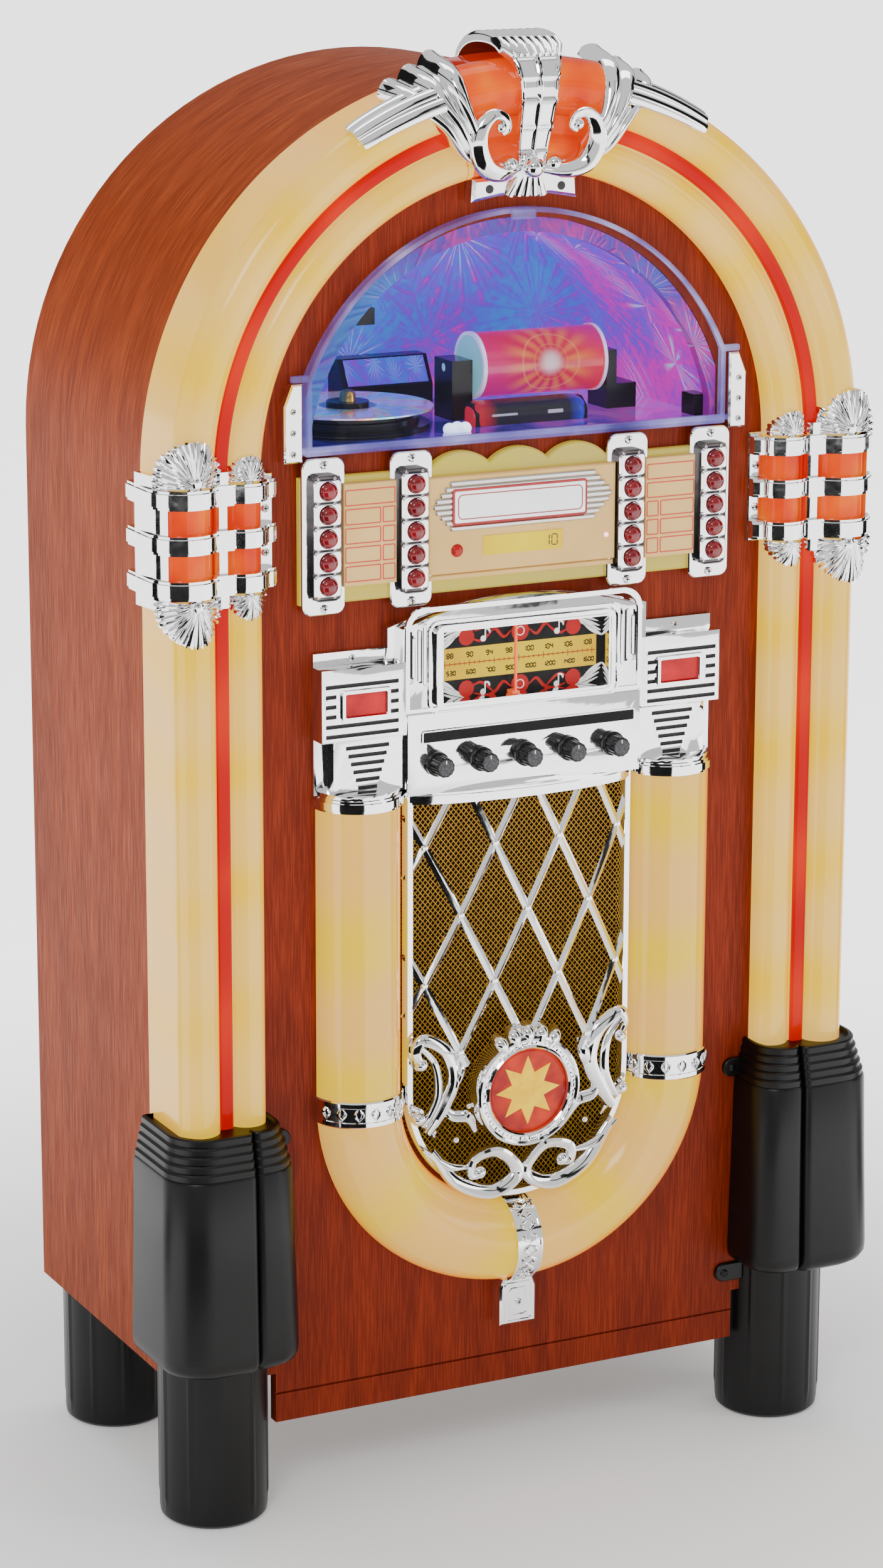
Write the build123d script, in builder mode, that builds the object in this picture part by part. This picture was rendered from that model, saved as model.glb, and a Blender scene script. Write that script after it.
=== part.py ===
"""Floor-standing jukebox with a compact-disc player, a radio and a light-up front.

Millimetres. x runs to the right, y to the back and z up from the floor. Depths in the helpers are
counted from the face of the front board, negative towards the viewer.
"""

import os
from math import atan2, ceil, cos, degrees, radians, sin, sqrt

from build123d import *

os.makedirs("parts", exist_ok=True)

# Cabinet: a bent board with a half-round top, closed by a front, a back and a floor board
cabinet_half_width = 261
cabinet_depth = 262
arch_height = 749.5
board = 9
cabinet_bottom = 102
floor_board = 12
back_board = 6
back_inset = 6
kick_bottom = 65
kick_side_lap = 1
kick_seam_rise = 21
seam_width = 1.6
vent_length = 120
vent_width = 5
vent_pitch = 16
vent_count = 6

# Clearances
joint_gap = 0.3
shaft_gap = 0.05

# Feet
foot_radius = 39.5
foot_bevel = 3
foot_rise = 33
front_foot_outset = 32
front_foot_setback = 16.3
rear_foot_inset = 39.5
rear_foot_setback = 45

# Window, its clear door and the lined chamber behind it
window_drop = 3.5
window_margin = 28.4
window_side_cut = 9
sill_rise = 18
door_lap = 7
door_side_lap = 2.2
door_sheet = 3
door_rim = 4
barrel_radius = 4.2
hinge_rise = 1.4
door_pin_radius = 2
door_pin_length = 7.8
door_ear = 10.8
door_ear_height = 4
latch_width = 18
bracket_thickness = 9
bracket_inner_gap = 3.3
bracket_width = 14
bracket_height = 54
bracket_drop = 7.4
bracket_slant = 6
chamber_step = 6
chamber_depth = 165
chamber_wall = 3
chamber_flange = 14

# Turntable and drum
disc_x = -93
disc_y = 75
disc_radius = 60
disc_thickness = 1.2
disc_hole = 7.5
deck_radius = 57
deck_step = 7
deck_height = 10
platter_radius = 46
platter_height = 5
clamp_radius = 15
clamp_height = 3
spindle_radius = 4
drum_y = 80
drum_rise = 37
drum_radius = 23
drum_rim = 0.8
drum_rim_width = 2.4
drum_left = 4.4
drum_length = 98.8
drum_spindle = 3
drum_post = 16
drum_post_gap = 4.4
drum_post_depth = 28
drum_bracket = 8
port_left = -12
port_length = 88
port_front = 36
port_depth = 18
port_height = 16
mirror_left = -66
mirror_right = 5
mirror_front = 139
mirror_step = 16
mirror_slope = 11
mirror_height = 36
shelf_left = -110
shelf_right = -38
shelf_front = 146
shelf_rise = 60
shelf_thickness = 12
lamp_x = -33
lamp_y = 30
lamp_radius = 6
lamp_height = 6
corner_block_width = 10
corner_block_front = 12
corner_block_depth = 18

# Light column: two round lobes with a groove between them, all round the front
lens_side = 4.6
column_width = 68.2
lens_wall = 2.5
inner_lobe = 13.6
inner_lobe_base = 6.4
outer_lobe_base = 13
groove_depth = 13
outer_lobe_width = 30.7
lens_wrap = 36.8
strip_side_gap = 0.2
strip_width = 10.1
strip_thickness = 2.6

# Band castings with orange windows
band_side = 9.4
band_lens_base = 9
band_lens_wrap = 26
band_swell = 6
band_height = 13.5
band_pitch = 30.5
band_count = 3
band_drop = 6
pillar_side_gap = 0.9
pillar_width = 8
pillar_reach = 19.5
band_plate_width = 12.4
band_plate_thickness = 3
shell_swell = 3
outer_shell_half_width = 21
outer_shell_height = 37
inner_shell_half_width = 15
inner_shell_height = 22

# Crown
crown_half_angle = 13.4
crown_base_half_width = 40.5
crown_base_height = 16
crown_base_reach = 11
crown_swell = 4
strap_low_half_width = 12
strap_high_half_width = 27
strap_cap = 15
strap_back = 50
volute_x = 30
volute_rise = 37
volute_cover = 0.65
volute_radius = 9.5
bead_radius = 7
bead_spacing = 17
bead_rise = 5
arm_end_angle = 61.8
wing_root = 8
wing_foot_half_width = 22
wing_outer_edge = ((44, 0.09), (70, 0.387), (88, 0.799))
arm_tip = ((88, 0.799), (131, 0.49), (136, 0.593))
wing_top_half_widths = (92, 57)
wing_inner_edge = ((40, 0.593), (24, 0.2835))
crown_foot_half_width = 9
strap_swell = 4
strap_cover = 2.95
strap_foot_rise = 8
strap_lobe_rise = 26
strap_lobe_lap = 6.5
strap_shoulder = 10
strap_shoulder_rise = 4
strap_waist_rise = 20
strap_flare_rise = 52
crown_base_arch = 3
crown_base_taper = 1.5

# Boots over the front corners
boot_inner_side = 11.4
boot_seam_inset = 45.6
boot_side = 15.4
boot_reach = 52
boot_growth = 3
boot_inner_reach = 46
boot_top = 300
boot_bottom = 125
boot_wrap = 30
ring_count = 5
ring_height = 5.8
ring_step = 0.9
boot_socket = 6

# Key panel
panel_top = 747
panel_bottom = 659
panel_base = 6
panel_half_width = 167
lobe_peak = 757
lobe_radius = 32.6
lobe_spacing = 45
label_raise = 6
label_bottom = 672
label_top = 740
label_half_width = 66.5
label_inner = 102.5
label_outer = 132
display_half_width = 31
display_bottom = 684
display_height = 13.5
display_thickness = 2
display_proud = 0.7

# Keys and their housings
outer_column = 150.6
inner_column = 84.4
key_top = 739
key_pitch = 16.4
key_rows = 5
key_radius = 6
key_length = 9.5
key_dome = 2.4
key_proud = 3
key_travel = 2
housing_half_width = 10.5
housing_margin = 10
housing_depth = 7.5
housing_flange = 3
housing_flange_half_width = 16
housing_flange_margin = 21.4
housing_corner = 7

# Radio front
fascia_half_width = 94.4
fascia_base_half_width = 101.7
fascia_reach = 16
fascia_base = 7
fascia_shoulder = 638
fascia_peak = 654
fascia_split = 577
knob_plate_half_width = 91.5
knob_plate_bottom = 519.6
knob_plate_reach = 18
side_box_inner = 95
side_box_outer = 156.4
side_box_bottom = 563.7
side_box_top = 614.8
side_box_reach = 17
side_flange = 3
side_flange_top = 624
stack_outer = 146.2
stack_bottom = 524
stack_reach = 13.7
slot_height = 2.8
slot_depth = 2.5
slot_pitch = 7
long_slot_drop = 11.8
long_slot_count = 6
short_slot = 8
slot_margin = 3
stack_slot_pitch = 5.8
stack_slot_count = 6
stack_slot_half_width = 16.5
stack_slot_taper = 1.85
flute_width = 2.6
flute_pitch = 6.75
flute_count = 3
flute_bottom = 599
flute_top = 636
dial_half_width = 67
dial_bottom = 582
dial_top = 636
dial_reach = 20
dial_border = 2
dial_pocket_depth = 13
dial_glass = 2
pointer_x = -7
pointer_width = 1.4
pointer_thickness = 2
rocker_x = 123.5
rocker_z = 589
rocker_half_width = 15.2
rocker_half_height = 7.6
rocker_thickness = 8
rocker_frame = 2.4
rocker_pin = 1.2
rocker_pin_length = 1.8
rocker_swing_room = 0.9
knob_spacing = 34.6
knob_height = 541
knob_radius = 7.4
knob_skirt_radius = 8.8
knob_skirt = 3
knob_length = 12.5
knob_shaft = 3
knob_shaft_length = 12
knob_flutes = 12
knob_flute_radius = 1

# Lower light tube, its clips and the loudspeaker grille
tube_inner = 92
tube_radius = 31
tube_wall = 2.5
tube_arc_height = 300
tube_top = 522
clip_bottom = 287
clip_height = 19
clip_thickness = 2.5
strap_half_width = 10
strap_foot_half_width = 14.5
strap_foot_height = 36
strap_foot_reach = 14
strap_foot_lap = 5.5
collar_height = 5
mesh_thickness = 2
bow_half_width = 95
bow_reach = 24
lattice_depth = 4
lattice_bar = 4.6
lattice_spacing = 51
lattice_rise = 50.5
lattice_first_crossing = 480
lattice_bottom = 318
rail_width = 4
rail_reach = 9
top_bar_height = 8
top_bar_swell = 2
scroll_width = 6.5
scroll_reach = 19
scroll_base = 8
ball_radius = 5.2
ring_outer_radius = 41.5
ring_inner_radius = 31
ring_reach = 30
ring_back = 12
crest_bead_count = 5
crest_bead_radius = 4.5
crest_start = 60
crest_turn = 60
upper_scroll = (
    (-0.8421, 0.2842), (-0.8842, 0.3895), (-0.8211, 0.4737), (-0.6421, 0.3579),
    (-0.5789, 0.1368), (-0.6632, -0.0737), (-0.9053, -0.3263),
)
lower_scroll = (
    (-0.7579, -0.4105), (-0.5474, -0.6842), (-0.2526, -0.8), (-0.0316, -0.6737),
    (-0.1895, -0.4842), (-0.4, -0.5158), (-0.4211, -0.6421), (-0.3158, -0.6526),
)
leaf = (
    (-0.6526, -0.0737), (-0.5895, -0.1474), (-0.4632, -0.1789), (-0.3895, -0.2947),
)
stem = (
    (-0.5053, 0.3263), (-0.5368, 0.1789), (-0.6316, -0.0316),
)
scroll_balls = (
    (-0.8421, 0.2842), (-0.3474, -0.6316), (-0.8632, -0.1368),
)
medallion_height = 295
medallion_reach = 27
star_points = 8
star_tip_radius = 26
star_notch_radius = 14
star_height = 3

# Loudspeakers, amplifier and sockets
speaker_heights = (292, 438)
speaker_hole = 66
speaker_flange = 72
speaker_flange_thickness = 4
speaker_depth = 58
magnet_radius = 36
magnet_length = 18
amplifier_half_width = 120
amplifier_depth = 130
amplifier_height = 46
amplifier_setback = 100
sheet = 1.5
transformer = 52
socket_half_width = 60
socket_rings = ((0.1, 6), (0.45, 4), (0.7, 4))
socket_bottom = 132
socket_height = 56
socket_plate = 2
inlet_width = 17
inlet_height = 9
inlet_depth = 14
inlet_wall = 3
inlet_pin_spacing = 8.6
inlet_pin = 1.2

# Places that follow from these sizes
panel_face = -(cabinet_depth - boot_reach) / 2
inside_half_width = cabinet_half_width - board
back_face = cabinet_depth - back_inset
window_height = arch_height - window_drop
lens_outer = cabinet_half_width + lens_side
lens_inner = lens_outer - column_width
outer_lobe_inner = lens_outer - outer_lobe_width
strip_outer = outer_lobe_inner - strip_side_gap
strip_inner = strip_outer - strip_width
band_lens_outer = lens_outer + band_side
pillar_outer = outer_lobe_inner - pillar_side_gap
pillar_inner = pillar_outer - pillar_width
band_plate_inner = lens_inner - band_plate_width
boot_inner = lens_inner - boot_inner_side
boot_seam = lens_outer - boot_seam_inset
boot_half_width = lens_outer + boot_side
kick_half_width = boot_inner + kick_side_lap
window_radius = lens_inner - window_margin
window_half_width = window_radius - window_side_cut
sill = window_height + sill_rise
hinge_depth = -(joint_gap + barrel_radius)
hinge_height = sill + hinge_rise
door_radius = window_radius + door_lap
door_half_width = window_half_width + door_side_lap
door_front = hinge_depth - barrel_radius
deck_top = sill + deck_height
disc_bottom = deck_top + joint_gap + platter_height
drum_height = sill + drum_rise
drum_right = drum_left + drum_length
outer_lobe = (lens_outer - outer_lobe_inner) / 2
band_lobe = (band_lens_outer - outer_lobe_inner) / 2
band_top = arch_height - band_drop + band_height / 2
band_bottom = band_top - band_height - (band_count - 1) * band_pitch
key_columns = (-outer_column, -inner_column, inner_column, outer_column)
key_bottom = key_top - (key_rows - 1) * key_pitch
housing_reach = panel_base + housing_flange + housing_depth
tube_middle = tube_inner + tube_radius
crown_start = 90 - crown_half_angle


def block(x, y, z, mode=Mode.ADD):
    """Box between pairs of limits."""
    middle = ((x[0] + x[1]) / 2, panel_face + (y[0] + y[1]) / 2, (z[0] + z[1]) / 2)
    with Locations(middle):
        Box(x[1] - x[0], y[1] - y[0], z[1] - z[0], mode=mode)


def round_along_x(y, z, radius, x, mode=Mode.ADD):
    """Round bar or bore along x between two limits."""
    with Locations(Location(((x[0] + x[1]) / 2, panel_face + y, z), (0, 90, 0))):
        Cylinder(radius, x[1] - x[0], mode=mode)


def round_along_y(x, z, radius, y, mode=Mode.ADD):
    """Round bar or bore along y between two limits."""
    with Locations(Location((x, panel_face + (y[0] + y[1]) / 2, z), (90, 0, 0))):
        Cylinder(radius, y[1] - y[0], mode=mode)


def round_along_z(x, y, radius, z, mode=Mode.ADD):
    """Round post or bore along z between two limits."""
    with Locations((x, panel_face + y, (z[0] + z[1]) / 2)):
        Cylinder(radius, z[1] - z[0], mode=mode)


def front_plane(depth):
    """Upright plane seen from the front, at a depth behind the panel face; it extrudes forward."""
    return Plane.XZ.offset(-(panel_face + depth))


def level_plane(height):
    """Level plane at a height, with its origin on the panel face."""
    return Plane((0, panel_face, height))


def spoke_plane(angle):
    """Plane through the arch's axis, turned up from the right: its x is the radius, its y the depth."""
    outward = (cos(radians(angle)), 0, sin(radians(angle)))
    normal = (-sin(radians(angle)), 0, cos(radians(angle)))
    return Plane((0, panel_face, arch_height), x_dir=outward, z_dir=normal)


def arch_axis(height):
    """Axis from back to front through the middle of an arc; a positive turn rises from the right."""
    return Axis((0, panel_face, height), (0, -1, 0))


def dome_outline(radius, half_width, bottom):
    """Window outline: a level bottom, upright sides and a round top about the window's middle."""
    shoulder = window_height + sqrt(radius**2 - half_width**2)
    with BuildSketch() as outline:
        with BuildLine():
            Polyline(
                (half_width, shoulder),
                (half_width, bottom),
                (-half_width, bottom),
                (-half_width, shoulder),
            )
            ThreePointArc((-half_width, shoulder), (0, window_height + radius), (half_width, shoulder))
        make_face()
    return outline.sketch


def arch_outline(half_width, bottom):
    """Cabinet outline: upright sides and a half-round top."""
    with BuildSketch() as outline:
        with BuildLine():
            Polyline(
                (half_width, arch_height),
                (half_width, bottom),
                (-half_width, bottom),
                (-half_width, arch_height),
            )
            left, right = (-half_width, arch_height), (half_width, arch_height)
            ThreePointArc(left, (0, arch_height + half_width), right)
        make_face()
    return outline.sketch


def lens_outline(outer, base, wrap, swell=0):
    """Section of the light column, radius by depth: inner lobe, groove, outer lobe, wrapped side."""
    lobe_middle = (outer_lobe_inner + outer) / 2
    lobe = (outer - outer_lobe_inner) / 2 + swell
    small = inner_lobe + swell
    small_middle = lens_inner + inner_lobe
    groove = groove_depth + swell
    groove_start = small_middle + sqrt(small**2 - (groove - inner_lobe_base) ** 2)
    groove_end = lobe_middle - sqrt(lobe**2 - (groove - base) ** 2)
    with BuildSketch() as outline:
        with BuildLine():
            edge = (small_middle - small, -inner_lobe_base)
            Polyline((cabinet_half_width, 0), (small_middle - small, 0), edge)
            ThreePointArc(
                edge,
                (small_middle, -inner_lobe_base - small),
                (groove_start, -groove),
            )
            Line((groove_start, -groove), (groove_end, -groove))
            ThreePointArc((groove_end, -groove), (lobe_middle, -base - lobe), (lobe_middle + lobe, -base))
            Polyline(
                (lobe_middle + lobe, -base),
                (lobe_middle + lobe, wrap),
                (cabinet_half_width, wrap),
                (cabinet_half_width, 0),
            )
        make_face()
    return outline.sketch


def half_ring(middle, outer, inner):
    """Half-round wall standing forward from the panel face, centred on a radius."""
    with BuildSketch() as outline:
        with BuildLine():
            ThreePointArc((middle - outer, 0), (middle, -outer), (middle + outer, 0))
            Line((middle + outer, 0), (middle + inner, 0))
            ThreePointArc((middle + inner, 0), (middle, -inner), (middle - inner, 0))
            Line((middle - inner, 0), (middle - outer, 0))
        make_face()
    return outline.sketch


def boot_lobe(inner, outer, reach, back, inner_round, outer_round):
    """One upright lobe of a boot, in plan, with rounded front corners."""
    with BuildSketch() as outline:
        with BuildLine():
            corners = ((inner, back), (inner, -reach), (outer, -reach), (outer, back))
            FilletPolyline(*corners, radius=(inner_round, outer_round))
            Line((outer, back), (inner, back))
        make_face()
    return outline.sketch


def boot_outline(swell):
    """A boot in plan: the narrow lobe, the wide lobe and the seam between them."""
    outer_reach = boot_reach - boot_growth + swell
    with BuildSketch() as outline:
        add(boot_lobe(boot_inner - swell, boot_seam, boot_inner_reach + swell, 0, 22, 6))
        add(boot_lobe(boot_seam, boot_half_width + swell, outer_reach, boot_wrap, 6, 28))
    return outline.sketch


def scroll(points, width):
    """A curled bar drawn on the front plane as a smooth line of the given width."""
    with BuildSketch() as outline:
        with BuildLine():
            Spline(*points)
        trace(line_width=width)
    return outline.sketch


with BuildPart() as cabinet_shell:
    with BuildSketch(front_plane(cabinet_depth)):
        add(arch_outline(cabinet_half_width, cabinet_bottom))
        add(arch_outline(inside_half_width, cabinet_bottom), mode=Mode.SUBTRACT)
    extrude(amount=cabinet_depth)
cabinet_shell.part.label = "cabinet_shell"
export_step(cabinet_shell.part, "parts/cabinet_shell.step")

# Front board with the window, dial and loudspeaker holes and the kick board below
with BuildPart() as front_panel:
    with BuildSketch(front_plane(board)):
        add(arch_outline(inside_half_width, cabinet_bottom))
        with Locations((0, (kick_bottom + cabinet_bottom) / 2)):
            Rectangle(2 * kick_half_width, cabinet_bottom - kick_bottom)
        add(dome_outline(window_radius, window_half_width, sill), mode=Mode.SUBTRACT)
        with Locations(*[(0, height) for height in speaker_heights]):
            Circle(speaker_hole, mode=Mode.SUBTRACT)
    extrude(amount=board)
    seam_height = kick_bottom + kick_seam_rise
    block(
        (-kick_half_width, kick_half_width),
        (0, seam_width),
        (seam_height, seam_height + seam_width),
        mode=Mode.SUBTRACT,
    )
front_panel.part.label = "front_panel"
export_step(front_panel.part, "parts/front_panel.step")

with BuildPart() as base_panel:
    block(
        (-inside_half_width, inside_half_width),
        (board, back_face - back_board),
        (cabinet_bottom, cabinet_bottom + floor_board),
    )
base_panel.part.label = "base_panel"
export_step(base_panel.part, "parts/base_panel.step")

# Back board with two fields of vent slots and the hole for the sockets
with BuildPart() as rear_panel:
    with BuildSketch(front_plane(back_face)):
        add(arch_outline(inside_half_width, cabinet_bottom))
        with Locations((0, arch_height), (0, socket_bottom + socket_height + vent_count * vent_pitch)):
            with GridLocations(0, vent_pitch, 1, vent_count):
                SlotOverall(vent_length, vent_width, mode=Mode.SUBTRACT)
        with Locations((0, socket_bottom + socket_height / 2)):
            Rectangle(2 * socket_half_width - 2 * board, socket_height - 2 * board, mode=Mode.SUBTRACT)
    extrude(amount=back_board)
rear_panel.part.label = "rear_panel"
export_step(rear_panel.part, "parts/rear_panel.step")

# Four round feet; the front pair stands out past the corners and rises into the boots
with BuildPart() as feet:
    front_foot_x = cabinet_half_width - front_foot_outset
    rear_foot_x = cabinet_half_width - rear_foot_inset
    for side in (-1, 1):
        round_along_z(
            side * front_foot_x, front_foot_setback, foot_radius, (0, cabinet_bottom + foot_rise)
        )
        round_along_z(
            side * rear_foot_x, cabinet_depth - rear_foot_setback, foot_radius, (0, cabinet_bottom)
        )
    block(
        (-cabinet_half_width, cabinet_half_width),
        (0, cabinet_depth),
        (cabinet_bottom, cabinet_bottom + foot_rise),
        mode=Mode.SUBTRACT,
    )
    chamfer(feet.edges().filter_by(GeomType.CIRCLE).group_by(Axis.Z)[0], foot_bevel)
feet.part.label = "feet"
export_step(feet.part, "parts/feet.step")

# Chamber: a thin box of the window's shape with a flange against the board
with BuildPart() as window_chamber:
    chamber_radius = window_radius - chamber_step
    with BuildSketch(front_plane(chamber_depth + chamber_wall)):
        shell_half_width = window_half_width + chamber_wall
        add(dome_outline(chamber_radius + chamber_wall, shell_half_width, sill - chamber_wall))
    extrude(amount=chamber_depth + chamber_wall - board)
    with BuildSketch(front_plane(board + chamber_wall)):
        add(
            dome_outline(
                chamber_radius + chamber_flange, window_half_width + chamber_flange, sill - chamber_flange
            )
        )
    extrude(amount=chamber_wall)
    with BuildSketch(front_plane(chamber_depth)):
        add(dome_outline(chamber_radius, window_half_width, sill))
    extrude(amount=chamber_depth - board, mode=Mode.SUBTRACT)
window_chamber.part.label = "window_chamber"
export_step(window_chamber.part, "parts/window_chamber.step")

# Drum post and bracket, port module, mirror block, wall shelf, lamp and corner block
with BuildPart() as chamber_fittings:
    post_right = drum_left - drum_post_gap
    post_left = post_right - drum_post
    bracket_left = drum_right + drum_post_gap
    bracket_right = bracket_left + drum_bracket
    post_depth = (drum_y - drum_post_depth / 2, drum_y + drum_post_depth / 2)
    block((post_left, post_right), post_depth, (sill, drum_height + 2 * drum_spindle))
    block((bracket_left, bracket_right), post_depth, (sill, drum_height + 2 * drum_spindle))
    block((bracket_right, bracket_right + drum_post), post_depth, (sill, sill + drum_rise / 2))
    bore = drum_spindle + shaft_gap
    round_along_x(drum_y, drum_height, bore, (post_left, bracket_right), mode=Mode.SUBTRACT)
    with BuildSketch(Plane.YZ.offset(port_left)):
        with BuildLine():
            FilletPolyline(
                (panel_face + port_front, sill),
                (panel_face + port_front, sill + port_height * 0.6),
                (panel_face + port_front + port_depth / 2, sill + port_height),
                (panel_face + port_front + port_depth, sill + port_height),
                (panel_face + port_front + port_depth, sill),
                radius=(3, 3, 3),
            )
            Line((panel_face + port_front + port_depth, sill), (panel_face + port_front, sill))
        make_face()
    extrude(amount=port_length)
    with BuildSketch(Plane.YZ.offset(mirror_left)):
        with BuildLine():
            Polyline(
                (panel_face + mirror_front, sill),
                (panel_face + mirror_front, sill + mirror_step),
                (panel_face + mirror_front + mirror_slope, sill + mirror_height),
                (panel_face + chamber_depth, sill + mirror_height),
                (panel_face + chamber_depth, sill),
                close=True,
            )
        make_face()
    extrude(amount=mirror_right - mirror_left)
    shelf_bottom = sill + shelf_rise
    shelf_heights = (shelf_bottom, shelf_bottom + shelf_thickness)
    block((shelf_left, shelf_right), (shelf_front, chamber_depth), shelf_heights)
    round_along_z(lamp_x, lamp_y, lamp_radius, (sill, sill + lamp_height))
    corner = (window_half_width - 1 - corner_block_width, window_half_width - 1)
    block(corner, (corner_block_front, corner_block_front + corner_block_depth), (sill, sill + port_height))
chamber_fittings.part.label = "chamber_fittings"
export_step(chamber_fittings.part, "parts/chamber_fittings.step")

# Stepped deck with the bearing for the turntable spindle
with BuildPart() as disc_deck:
    round_along_z(disc_x, disc_y, deck_radius, (sill, sill + deck_height / 2))
    round_along_z(disc_x, disc_y, deck_radius - deck_step, (sill + deck_height / 2, deck_top))
    round_along_z(disc_x, disc_y, spindle_radius + shaft_gap, (sill, deck_top), mode=Mode.SUBTRACT)
disc_deck.part.label = "disc_deck"
export_step(disc_deck.part, "parts/disc_deck.step")

with BuildPart() as turntable:
    round_along_z(disc_x, disc_y, spindle_radius, (sill + joint_gap, disc_bottom))
    round_along_z(disc_x, disc_y, platter_radius, (deck_top + joint_gap, disc_bottom))
    round_along_z(disc_x, disc_y, disc_hole - shaft_gap, (disc_bottom, disc_bottom + disc_thickness))
    clamp_bottom = disc_bottom + disc_thickness
    round_along_z(disc_x, disc_y, clamp_radius, (clamp_bottom, clamp_bottom + clamp_height))
    round_along_z(disc_x, disc_y, spindle_radius, (clamp_bottom, clamp_bottom + 2.5 * clamp_height))
turntable.part.label = "turntable"
export_step(turntable.part, "parts/turntable.step")

with BuildPart() as compact_disc:
    round_along_z(disc_x, disc_y, disc_radius, (disc_bottom, disc_bottom + disc_thickness))
    round_along_z(disc_x, disc_y, disc_hole, (disc_bottom, disc_bottom + disc_thickness), mode=Mode.SUBTRACT)
compact_disc.part.label = "compact_disc"
export_step(compact_disc.part, "parts/compact_disc.step")

# Drum with a raised rim at each end, on one spindle through both
with BuildPart() as title_drum:
    round_along_x(drum_y, drum_height, drum_radius, (drum_left, drum_right))
    rim_radius = drum_radius + drum_rim
    round_along_x(drum_y, drum_height, rim_radius, (drum_left, drum_left + drum_rim_width))
    round_along_x(drum_y, drum_height, rim_radius, (drum_right - drum_rim_width, drum_right))
    round_along_x(
        drum_y, drum_height, drum_spindle, (post_left + joint_gap, bracket_right - joint_gap)
    )
title_drum.part.label = "title_drum"
export_step(title_drum.part, "parts/title_drum.step")

# Clear door: a sheet with a rim turned back, a barrel along the bottom and two ears
with BuildPart() as window_door:
    with BuildSketch(front_plane(-joint_gap)):
        add(dome_outline(door_radius, door_half_width, hinge_height))
    extrude(amount=2 * barrel_radius)
    with BuildSketch(front_plane(-joint_gap)):
        add(dome_outline(door_radius - door_rim, door_half_width - door_rim, hinge_height + door_rim))
    extrude(amount=2 * barrel_radius - door_sheet, mode=Mode.SUBTRACT)
    round_along_x(hinge_depth, hinge_height, barrel_radius, (-door_half_width, door_half_width))
    pin_end = door_half_width + door_pin_length
    round_along_x(hinge_depth, hinge_height, door_pin_radius, (-pin_end, pin_end))
    ear_bottom = hinge_height - bracket_drop + bracket_height + 2 * joint_gap
    for side in (-1, 1):
        ends = sorted((side * (door_half_width - door_rim), side * (door_half_width + door_ear)))
        block(ends, (door_front, door_front + door_sheet), (ear_bottom, ear_bottom + door_ear_height))
    latch_top = window_height + door_radius
    block(
        (-latch_width / 2, latch_width / 2),
        (door_front - door_sheet, door_front),
        (latch_top - 2 * door_rim, latch_top - 0.5),
    )
window_door.part.label = "window_door"
export_step(window_door.part, "parts/window_door.step")

# Brackets with the bearings for the door's pins
with BuildPart() as hinge_brackets:
    bracket_inner = door_half_width + bracket_inner_gap
    bracket_outer = bracket_inner + bracket_width
    bracket_bottom = hinge_height - bracket_drop
    bracket_top = bracket_bottom + bracket_height
    with BuildSketch(front_plane(0)):
        with BuildLine():
            Polyline(
                (bracket_inner, bracket_bottom),
                (bracket_outer, bracket_bottom),
                (bracket_outer, bracket_top - 2.5 * bracket_slant),
                (bracket_outer - bracket_slant, bracket_top),
                (bracket_inner, bracket_top),
                close=True,
            )
        make_face()
        mirror(about=Plane.YZ)
    extrude(amount=bracket_thickness)
    bore_radius = door_pin_radius + shaft_gap
    bore_end = pin_end + joint_gap
    round_along_x(hinge_depth, hinge_height, bore_radius, (-bore_end, bore_end), mode=Mode.SUBTRACT)
hinge_brackets.part.label = "hinge_brackets"
export_step(hinge_brackets.part, "parts/hinge_brackets.step")

# Light column in two halves that stop at the crown, each an arch and a leg down into its boot
column_foot = boot_top - boot_socket
with BuildPart() as column_lenses:
    with BuildSketch(spoke_plane(0)):
        add(lens_outline(lens_outer, outer_lobe_base, lens_wrap))
        add(lens_outline(lens_outer, outer_lobe_base, lens_wrap, swell=-lens_wall), mode=Mode.SUBTRACT)
    revolve(axis=arch_axis(arch_height), revolution_arc=crown_start)
    with BuildSketch(level_plane(column_foot)):
        add(lens_outline(lens_outer, outer_lobe_base, lens_wrap))
        add(lens_outline(lens_outer, outer_lobe_base, lens_wrap, swell=-lens_wall), mode=Mode.SUBTRACT)
    extrude(amount=band_bottom - column_foot)
    mirror(about=Plane.YZ)
column_lenses.part.label = "column_lenses"
export_step(column_lenses.part, "parts/column_lenses.step")

# Red strip in the groove
with BuildPart() as red_strips:
    strip_depth = -groove_depth - strip_thickness / 2
    strip_middle = (strip_inner + strip_outer) / 2
    with BuildSketch(spoke_plane(0)):
        with Locations((strip_middle, strip_depth)):
            Rectangle(strip_outer - strip_inner, strip_thickness)
    revolve(axis=arch_axis(arch_height), revolution_arc=crown_start)
    with BuildSketch(level_plane(column_foot)):
        with Locations((strip_middle, strip_depth)):
            Rectangle(strip_outer - strip_inner, strip_thickness)
    extrude(amount=band_bottom - column_foot)
    mirror(about=Plane.YZ)
red_strips.part.label = "red_strips"
export_step(red_strips.part, "parts/red_strips.step")

# Orange lenses: one behind each band casting and one under the crown
hollow = lens_outline(band_lens_outer, band_lens_base, band_lens_wrap, swell=-lens_wall)
with BuildPart() as orange_lenses:
    with BuildSketch(level_plane(band_bottom)):
        add(lens_outline(band_lens_outer, band_lens_base, band_lens_wrap))
        add(hollow, mode=Mode.SUBTRACT)
    extrude(amount=arch_height - band_bottom)
    mirror(about=Plane.YZ)
    with BuildSketch(spoke_plane(crown_start)):
        add(lens_outline(band_lens_outer, band_lens_base, band_lens_wrap))
        add(hollow, mode=Mode.SUBTRACT)
    revolve(axis=arch_axis(arch_height), revolution_arc=2 * crown_half_angle)
orange_lenses.part.label = "orange_lenses"
export_step(orange_lenses.part, "parts/orange_lenses.step")

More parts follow.
